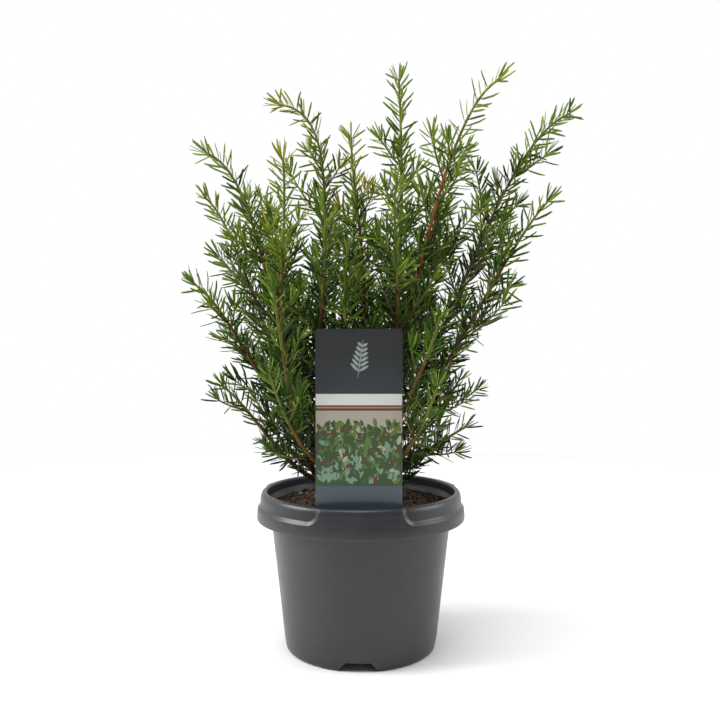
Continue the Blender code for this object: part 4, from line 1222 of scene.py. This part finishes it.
def build_wood(settings, growth):
    rng = np.random.default_rng(23)
    parts = []
    surfaces = [trunk_surface(rng)]
    surfaces += [bough_surface(rng, shoot, *growth["boughs"][shoot.name]) for shoot in SHOOTS if shoot.bare]
    for points, fans, quads in surfaces:
        parts.append((points, [fans, quads], np.zeros(len(fans) + len(quads), dtype=int)))
    points, faces, which = join_parts(parts)
    wood = new_piece("trunk_and_boughs", points, faces, [old_bark(settings)], which)
    names = ["trunk"] + [shoot.name + "_bough" for shoot in SHOOTS if shoot.bare]
    dress(wood, "bark", *names)
    return wood


def stem_tones(count, start, end):
    """Material of each ring of faces along a stem: brown, olive, then green."""
    share = np.linspace(start, end, count)
    return np.where(share < 0.30, 0, np.where(share < 0.72, 1, 2))


def build_stems(growth):
    """The leafy stems and their twigs, round and slim, greener towards their tips."""
    parts = []
    for shoot in SHOOTS:
        stem = growth["stems"][shoot.name]
        whole = path_length(stem)[-1]
        rows = max(10, int(whole / 0.004))
        spots = np.linspace(0.0, whole, rows)
        path = path_points(stem, spots)
        angles = np.linspace(0, 2 * math.pi, STEM_SIDES, endpoint=False)
        relief = 1.0 + 0.08 * np.cos(angles[None, :] * 3 - spots[:, None] * 2 * math.pi / 0.012)
        points, fans, quads = tube(path, np.linspace(*STEM_RADII, rows), STEM_SIDES, relief)
        tones = np.repeat(stem_tones(rows - 1, 0.0, 1.0), STEM_SIDES)
        if shoot.name == "top_right":
            tones = np.where(tones == 1, 3, tones)
        ends = np.repeat([tones[0], tones[-1]], STEM_SIDES)
        parts.append((points, [fans, quads], np.r_[ends, tones]))
        for twig in growth["twigs"][shoot.name] + growth["fine"][shoot.name]:
            length = path_length(twig)[-1]
            rows = max(5, int(length / 0.006))
            path = path_points(twig, np.linspace(0.0, length, rows))
            points, fans, quads = tube(path, np.linspace(*FINE_RADII, rows), FINE_SIDES)
            tones = np.repeat(stem_tones(rows - 1, 0.25, 1.0), FINE_SIDES)
            ends = np.repeat([tones[0], tones[-1]], FINE_SIDES)
            parts.append((points, [fans, quads], np.r_[ends, tones]))
    points, faces, which = join_parts(parts)
    tints = [("stem_brown", (0.050, 0.023, 0.011)), ("stem_olive", (0.130, 0.070, 0.018)),
             ("stem_green", (0.120, 0.130, 0.018)), ("stem_orange", (0.260, 0.080, 0.020))]
    materials = [plain_material(name, colour, 0.55, Specular_IOR_Level=0.2) for name, colour in tints]
    stems = new_piece("stems_and_twigs", points, faces, materials, which)
    dress(stems, "bark")
    return stems


# Needles


# Many needles at once, each field an array with one row for each needle
Spray = namedtuple("Spray", "base along facing curve length width bend tone under")


def needle_faces():
    """Faces of one needle: four sides between stations, four to the point, one at the foot.

    Of each four, the first two are the upper side and the last two the underside.
    """
    stations = len(NEEDLE_STATIONS)
    sides = grid_quads(stations, 4, True)
    last = (stations - 1) * 4
    corner = np.arange(4)
    point = np.stack([last + corner, last + (corner + 1) % 4, np.full(4, stations * 4)], axis=-1)
    return point, np.concatenate([sides, [[3, 2, 1, 0]]])


def needle_points(spray):
    """Points of every needle of a spray.

    A needle is a slim blade with a lens-shaped section: left edge, ridge, right
    edge and keel at each station, ending in a point. It bends by the square of
    the way along it.
    """
    share = np.array([station[0] for station in NEEDLE_STATIONS] + [1.0])
    width = np.array([station[1] for station in NEEDLE_STATIONS] + [0.0])
    side = np.cross(spray.along, spray.facing)
    way = spray.length[:, None] * share[None, :]
    spine = spray.base[:, None, :] + spray.along[:, None, :] * way[..., None] \
        + spray.curve[:, None, :] * (spray.bend[:, None] * way ** 2)[..., None]
    half = 0.5 * spray.width[:, None] * width[None, :]
    edge = side[:, None, :] * half[..., None]
    rise = spray.facing[:, None, :] * half[..., None]
    corners = np.stack([spine - edge, spine + 2 * RIDGE * rise,
                        spine + edge, spine - 2 * KEEL * rise], axis=2)
    body = corners[:, :-1].reshape(len(spray.base), -1, 3)
    return np.concatenate([body, spine[:, -1:, :]], axis=1)


def deal_tones(rng, share, height, painted_light_and_tone, golden_from):
    """Colour of each needle: deep green inside and low down as painted shade, leaf and fresh green outwards,
    lime or gold at the tips, the lime partly painted light.
    """
    # Lightness dealt to each needle: towards the shoot's tip partly the paler green of young needles and
    # partly painted light, painted shade deeper in and lower down, and the shoot's own painted light and shade
    light = 0.08 + 0.50 * share ** 1.4 + 0.24 * (height - RIM_TOP) / 0.35 + painted_light_and_tone
    light = light + rng.normal(0.0, 0.12, len(share))
    tone = np.digitize(light, (0.22, 0.46, 0.72))
    if golden_from is not None:
        chance = smooth_step(golden_from, golden_from + 0.2, share)
        tone = np.where(rng.uniform(size=len(share)) < chance * 0.75, 4, tone)
        near = (share > golden_from - 0.2) & (tone < 3) & (rng.uniform(size=len(share)) < 0.6)
        tone = np.where(near, 3, tone)
    return tone


def square_to(directions, axes):
    """The part of each direction that is square to its axis, as a unit vector."""
    part = directions - axes * (directions * axes).sum(axis=1)[:, None]
    return part / np.linalg.norm(part, axis=1)[:, None]


def needles_on(path, settings, rng, painted_light_and_tone, golden_from, span, first=0.0, thin_out=1.0, smaller=1.0):
    """Needles in a spiral along a path, and a rosette at its tip.

    span is where the path lies along its shoot, as two shares. On a leaning
    stem the needles turn upwards like the teeth of a comb. Each needle lies
    flatwise in the plane that it spans with its stem.
    """
    whole = path_length(path)[-1]
    spacing = settings.needle_spacing * thin_out
    count = max(5, int((whole - first) / spacing))
    at = first + (np.arange(count) + rng.uniform(0.2, 0.8, count)) * (whole - first) / count
    at = np.r_[at, whole - 0.0025 * np.arange(ROSETTE) / ROSETTE]
    at_tip = np.r_[np.zeros(count, dtype=bool), np.ones(ROSETTE, dtype=bool)]
    count += ROSETTE
    tangents, across, over = frames_along(path)
    along = path_length(path)

    def read(values):
        found = np.stack([np.interp(at, along, values[:, axis]) for axis in range(3)], axis=1)
        return found / np.linalg.norm(found, axis=1)[:, None]

    tangent, across, over = read(tangents), read(across), read(over)
    spin = np.radians(GOLDEN_ANGLE) * np.arange(count) + rng.normal(0, 0.45, count)
    away = np.cos(spin)[:, None] * across + np.sin(spin)[:, None] * over
    flat = np.sqrt(np.clip(1.0 - tangent[:, 2] ** 2, 0.0, 1.0))
    above = UP - tangent * tangent[:, 2:]
    away = away + NEEDLE_COMB * flat[:, None] * above
    away /= np.linalg.norm(away, axis=1)[:, None]
    share = at / whole
    ripe = smooth_step(0.84, 1.0, share)
    young = smooth_step(0.0, 0.12, share)
    lean = 50.0 + 12.0 * flat ** 2 - 8.0 * ripe + rng.normal(0, 11.0, count)
    lean = np.radians(np.where(at_tip, rng.uniform(6.0, 46.0, count), lean))
    pointing = np.cos(lean)[:, None] * tangent + np.sin(lean)[:, None] * away
    base = path_points(path, at) + away * 0.0006
    outward = base * (1.0, 1.0, 0.0) / np.linalg.norm(base[:, :2], axis=1)[:, None]
    flatwise = np.cross(tangent, pointing)
    flatwise /= np.linalg.norm(flatwise, axis=1)[:, None]
    flatwise *= np.where((flatwise * (outward + 0.5 * UP)).sum(axis=1) < 0.0, -1.0, 1.0)[:, None]
    inner = square_to(tangent + 0.4 * UP, pointing)
    facing = square_to(0.8 * flatwise + 0.45 * inner + rng.normal(0, 0.22, (count, 3)), pointing)
    full = settings.needle_length + (settings.needle_tip_length - settings.needle_length) * ripe
    length = full * (0.72 + 0.28 * young) * rng.uniform(0.80, 1.10, count) * smaller
    width = settings.needle_width * rng.uniform(0.86, 1.06, count) * smaller
    bend = rng.normal(4.0, 6.0, count)
    place = span[0] + (span[1] - span[0]) * share
    # The tone carries painted shade low down and inside the crown, and painted light on lit shoots
    tone = deal_tones(rng, place, base[:, 2], painted_light_and_tone, golden_from)
    under = np.where((tone < 3) & (rng.uniform(size=count) < 0.6), tone + 1, tone)
    return Spray(base, pointing, facing, inner, length, width, bend, tone, under)


def join_sprays(sprays):
    return Spray(*[np.concatenate([getattr(spray, field) for spray in sprays]) for field in Spray._fields])


def before_label(points):
    """True for points that would hide the label from the front."""
    x, y, z = points.T
    return (y < LABEL_Y + 0.002) & (np.abs(x - LABEL_CENTRE_X) < LABEL_WIDTH / 2 + 0.001) & (z < LABEL_TOP)


def keep_clear(spray, box):
    """Only the needles that touch neither pot, soil nor label and stay in the frame's box."""
    low, high = np.array(box[0]), np.array(box[1])
    kept = np.ones(len(spray.base), dtype=bool)
    for part in (0.35, 0.7, 1.0):
        way = (spray.length * part)[:, None]
        spots = spray.base + spray.along * way + spray.curve * (spray.bend[:, None] * way ** 2)
        kept &= clear_of_things(spots, -0.0004) & ~before_label(spots)
        kept &= ((spots > low + 0.0005) & (spots < high - 0.0005)).all(axis=1)
    return Spray(*[values[kept] for values in spray])


def shoot_sprays(shoot, growth, settings):
    """All needles of one shoot: on its stem, its twigs and its fine twigs."""
    seed = random.Random(shoot.name + " needles").randrange(2 ** 31)
    rng = np.random.default_rng(seed)
    # This shoot's painted light and shade; each twig adds a random tone of its own to it
    painted_light_and_tone = PAINTED_LIGHT_BY_SHOOT.get(shoot.name, 0.0)
    golden = GOLDEN_FROM.get(shoot.name)
    stem = growth["stems"][shoot.name]
    thin_out = THINNER.get(shoot.name, 1.0)
    smaller = SKIRT_NEEDLE if shoot.name in SPARSE else 1.0
    sprays = [needles_on(stem, settings, rng, painted_light_and_tone, golden, (0.0, 1.0), 0.0, thin_out, smaller)]
    for twig in growth["twigs"][shoot.name] + growth["fine"][shoot.name]:
        foot = nearest(twig[:1], stem)[0]
        start = float(np.argmin(np.linalg.norm(stem - twig[0], axis=1))) / (len(stem) - 1)
        reach = path_length(twig)[-1] / path_length(stem)[-1]
        spread = rng.normal(0.0, 0.06)
        span = (start, min(1.0, start + 1.2 * reach + 0.12))
        sprays.append(needles_on(twig, settings, rng, painted_light_and_tone + spread, golden, span, 0.001 + foot,
                                 1.0, smaller))
    return join_sprays(sprays)


def side_of(shoot):
    """The group a shoot's needles are joined with, by where its tip stands."""
    if shoot.name in GOLDEN_FROM:
        return "golden"
    x, y, _ = shoot.tip
    azimuth = math.degrees(math.atan2(y, x)) % 360.0
    if 40.0 <= azimuth < 140.0:
        return "back"
    if 140.0 <= azimuth < 215.0:
        return "left"
    if 215.0 <= azimuth < 325.0:
        return "front"
    return "right"


def needle_materials(settings):
    # Five tones, dealt partly by age and partly as painted light and shade; the deep one is painted shade
    tones = (("needle_deep", settings.deep_shade_green), ("needle_leaf", settings.leaf_green),
             ("needle_fresh", settings.fresh_green), ("needle_lime", settings.lime_green),
             ("needle_gold", settings.gold))
    return [plain_material(name, colour, 0.45, Specular_IOR_Level=0.15) for name, colour in tones]


def deal_sides(spray, faces):
    """Material of each face of every needle: its tone above, and its other tone underneath."""
    return np.where(faces[None, :] % 4 < 2, spray.tone[:, None], spray.under[:, None]).ravel()


def build_needles(settings, growth):
    materials = needle_materials(settings)
    groups = {}
    for shoot in SHOOTS:
        groups.setdefault(side_of(shoot), []).append(shoot)
    pieces = []
    for group, shoots in groups.items():
        spray = join_sprays([shoot_sprays(shoot, growth, settings) for shoot in shoots])
        spray = keep_clear(spray, CAD_BOX)
        points = needle_points(spray)
        count, corners = points.shape[:2]
        offsets = (corners * np.arange(count))[:, None, None]
        tips, quads = needle_faces()
        faces = [(tips[None] + offsets).reshape(-1, 3), (quads[None] + offsets).reshape(-1, 4)]
        which = np.concatenate([deal_sides(spray, np.arange(len(tips))),
                                deal_sides(spray, np.arange(len(quads)))])
        piece = new_piece("needles_" + group, points.reshape(-1, 3), faces, materials, which, smooth=False)
        slot = "tip_needles" if group == "golden" else "needles"
        dress(piece, slot, *[shoot.name for shoot in shoots])
        pieces.append(piece)
    return pieces


# Stage


def build_floor(settings):
    """A wide, flat, round floor: rings of points on a polar grid, closed by a fan."""
    angles = np.linspace(0, 2 * math.pi, FLOOR_SIDES, endpoint=False)
    radius = np.array(FLOOR_RINGS)[:, None]
    rings = np.stack([radius * np.cos(angles), radius * np.sin(angles), 0.0 * radius * angles], axis=-1)
    side = np.arange(FLOOR_SIDES)
    hub = np.full(FLOOR_SIDES, rings.size // 3)
    fan = np.stack([side, (side + 1) % FLOOR_SIDES, hub], axis=-1)
    quads = grid_quads(len(FLOOR_RINGS), FLOOR_SIDES, True)[:, ::-1]
    material = plain_material("studio_floor", settings.floor, 0.7)
    grain = pattern(material, "ShaderNodeTexNoise", 3.0, 3.0)
    pale = [min(1.0, channel * 1.02) for channel in settings.floor]
    stops = ((0.3, settings.floor), (0.7, pale))
    paint(material, ramp(material, grain.outputs["Fac"], stops).outputs["Color"])
    points = np.concatenate([rings.reshape(-1, 3), np.zeros((1, 3))])
    floor = new_piece("studio_floor", points, [fan, quads], [material])
    return floor


def add_lamp(name, place, target, size, power):
    """A square soft lamp that looks at a point."""
    lamp = bpy.data.lights.new(name, "AREA")
    lamp.size = size
    lamp.energy = power
    obj = bpy.data.objects.new(name, lamp)
    bpy.context.scene.collection.objects.link(obj)
    direction = np.array(place) - np.array(target)
    obj.location = place
    flat = math.hypot(direction[0], direction[1])
    obj.rotation_euler = (math.atan2(flat, direction[2]), 0.0, math.atan2(direction[0], -direction[1]))
    return obj


def build_sky(settings):
    """An even white studio wall behind the plant, and a dimmer room in front of it."""
    world = bpy.data.worlds.new("studio_sky")
    world.use_nodes = True
    nodes, links = world.node_tree.nodes, world.node_tree.links
    background = nodes["Background"]
    background.inputs["Color"].default_value = (1.0, 1.0, 1.0, 1.0)
    coordinates = nodes.new("ShaderNodeTexCoord")
    split = nodes.new("ShaderNodeSeparateXYZ")
    spread = nodes.new("ShaderNodeMapRange")
    spread.interpolation_type = "SMOOTHSTEP"
    spread.inputs["From Min"].default_value = -0.6
    spread.inputs["From Max"].default_value = 0.5
    spread.inputs["To Min"].default_value = settings.room
    spread.inputs["To Max"].default_value = settings.wall
    links.new(coordinates.outputs["Generated"], split.inputs["Vector"])
    links.new(split.outputs["Y"], spread.inputs["Value"])
    links.new(spread.outputs["Result"], background.inputs["Strength"])
    bpy.context.scene.world = world


def build_stage(settings):
    build_floor(settings)
    build_sky(settings)
    add_lamp("key_lamp", *KEY_LAMP, settings.key_power)
    add_lamp("fill_lamp", *FILL_LAMP, settings.fill_power)
    add_lamp("top_lamp", *TOP_LAMP, settings.top_power)
    camera = bpy.data.cameras.new("camera")
    camera.lens = settings.lens
    camera.sensor_width = 36.0
    camera.clip_start = 0.01
    view = bpy.data.objects.new("camera", camera)
    view.location = (CAMERA_X, -settings.camera_distance, settings.camera_height)
    view.rotation_euler = (math.pi / 2 - settings.camera_pitch, 0.0, 0.0)
    bpy.context.scene.collection.objects.link(view)
    bpy.context.scene.camera = view
    bpy.context.scene.view_settings.view_transform = "Standard"


# Add-on


GROWTH = {}


def grown(context):
    """The grown shoots, worked out once for the operators that need them."""
    if not GROWTH:
        boughs, stems = grow_shoots()
        GROWTH["boughs"] = boughs
        GROWTH["stems"] = stems
        GROWTH["twigs"] = grow_twigs(boughs, stems)
        spacing = context.scene.yew_plant.fine_twig_spacing
        GROWTH["fine"] = {shoot.name: grow_fine_twigs(shoot, stems[shoot.name], spacing) for shoot in SHOOTS}
    return GROWTH


class YEW_OT_stage(bpy.types.Operator):
    """Build the floor, the lamps and the camera"""
    bl_idname = "yew.build_stage"
    bl_label = "Stage"

    def execute(self, context):
        build_stage(context.scene.yew_stage)
        return {"FINISHED"}


class YEW_OT_pot(bpy.types.Operator):
    """Build the nursery pot"""
    bl_idname = "yew.build_pot"
    bl_label = "Pot"

    def execute(self, context):
        build_pot(context.scene.yew_pot)
        return {"FINISHED"}


class YEW_OT_soil(bpy.types.Operator):
    """Build the peat and its crumbs"""
    bl_idname = "yew.build_soil"
    bl_label = "Peat"

    def execute(self, context):
        build_soil(context.scene.yew_soil)
        return {"FINISHED"}


class YEW_OT_label(bpy.types.Operator):
    """Build the label and its plain design"""
    bl_idname = "yew.build_label"
    bl_label = "Label"

    def execute(self, context):
        build_label(context.scene.yew_label)
        return {"FINISHED"}


class YEW_OT_wood(bpy.types.Operator):
    """Build the trunk and the boughs"""
    bl_idname = "yew.build_wood"
    bl_label = "Trunk and boughs"

    def execute(self, context):
        build_wood(context.scene.yew_plant, grown(context))
        return {"FINISHED"}


class YEW_OT_stems(bpy.types.Operator):
    """Build the leafy stems and twigs"""
    bl_idname = "yew.build_stems"
    bl_label = "Stems and twigs"

    def execute(self, context):
        build_stems(grown(context))
        return {"FINISHED"}


class YEW_OT_needles(bpy.types.Operator):
    """Build the needles of every shoot"""
    bl_idname = "yew.build_needles"
    bl_label = "Needles"

    def execute(self, context):
        build_needles(context.scene.yew_plant, grown(context))
        return {"FINISHED"}


class YEW_PT_panel(bpy.types.Panel):
    """Lists the pieces of the potted yew"""
    bl_idname = "YEW_PT_panel"
    bl_label = "Potted Yew"
    bl_space_type = "VIEW_3D"
    bl_region_type = "UI"
    bl_category = "Yew"

    def draw(self, context):
        for operator in OPERATORS:
            self.layout.operator(operator.bl_idname)
        for group in SETTINGS:
            box = self.layout.box()
            settings = getattr(context.scene, group)
            for name in settings.bl_rna.properties.keys():
                if name not in ("rna_type", "name"):
                    box.prop(settings, name)


OPERATORS = (YEW_OT_stage, YEW_OT_pot, YEW_OT_soil, YEW_OT_label, YEW_OT_wood, YEW_OT_stems, YEW_OT_needles)
SETTINGS = {"yew_plant": YewPlantSettings, "yew_pot": YewPotSettings, "yew_soil": YewSoilSettings,
            "yew_label": YewLabelSettings, "yew_stage": YewStageSettings}


def register():
    for group in (*SETTINGS.values(), *OPERATORS, YEW_PT_panel):
        bpy.utils.register_class(group)
    for name, group in SETTINGS.items():
        setattr(bpy.types.Scene, name, bpy.props.PointerProperty(type=group))


def unregister():
    for name in SETTINGS:
        delattr(bpy.types.Scene, name)
    for group in reversed((*SETTINGS.values(), *OPERATORS, YEW_PT_panel)):
        bpy.utils.unregister_class(group)


def main():
    register()
    bpy.ops.yew.build_stage()
    bpy.ops.yew.build_pot()
    bpy.ops.yew.build_soil()
    bpy.ops.yew.build_label()
    bpy.ops.yew.build_wood()
    bpy.ops.yew.build_stems()
    bpy.ops.yew.build_needles()


if __name__ == "__main__":
    main()
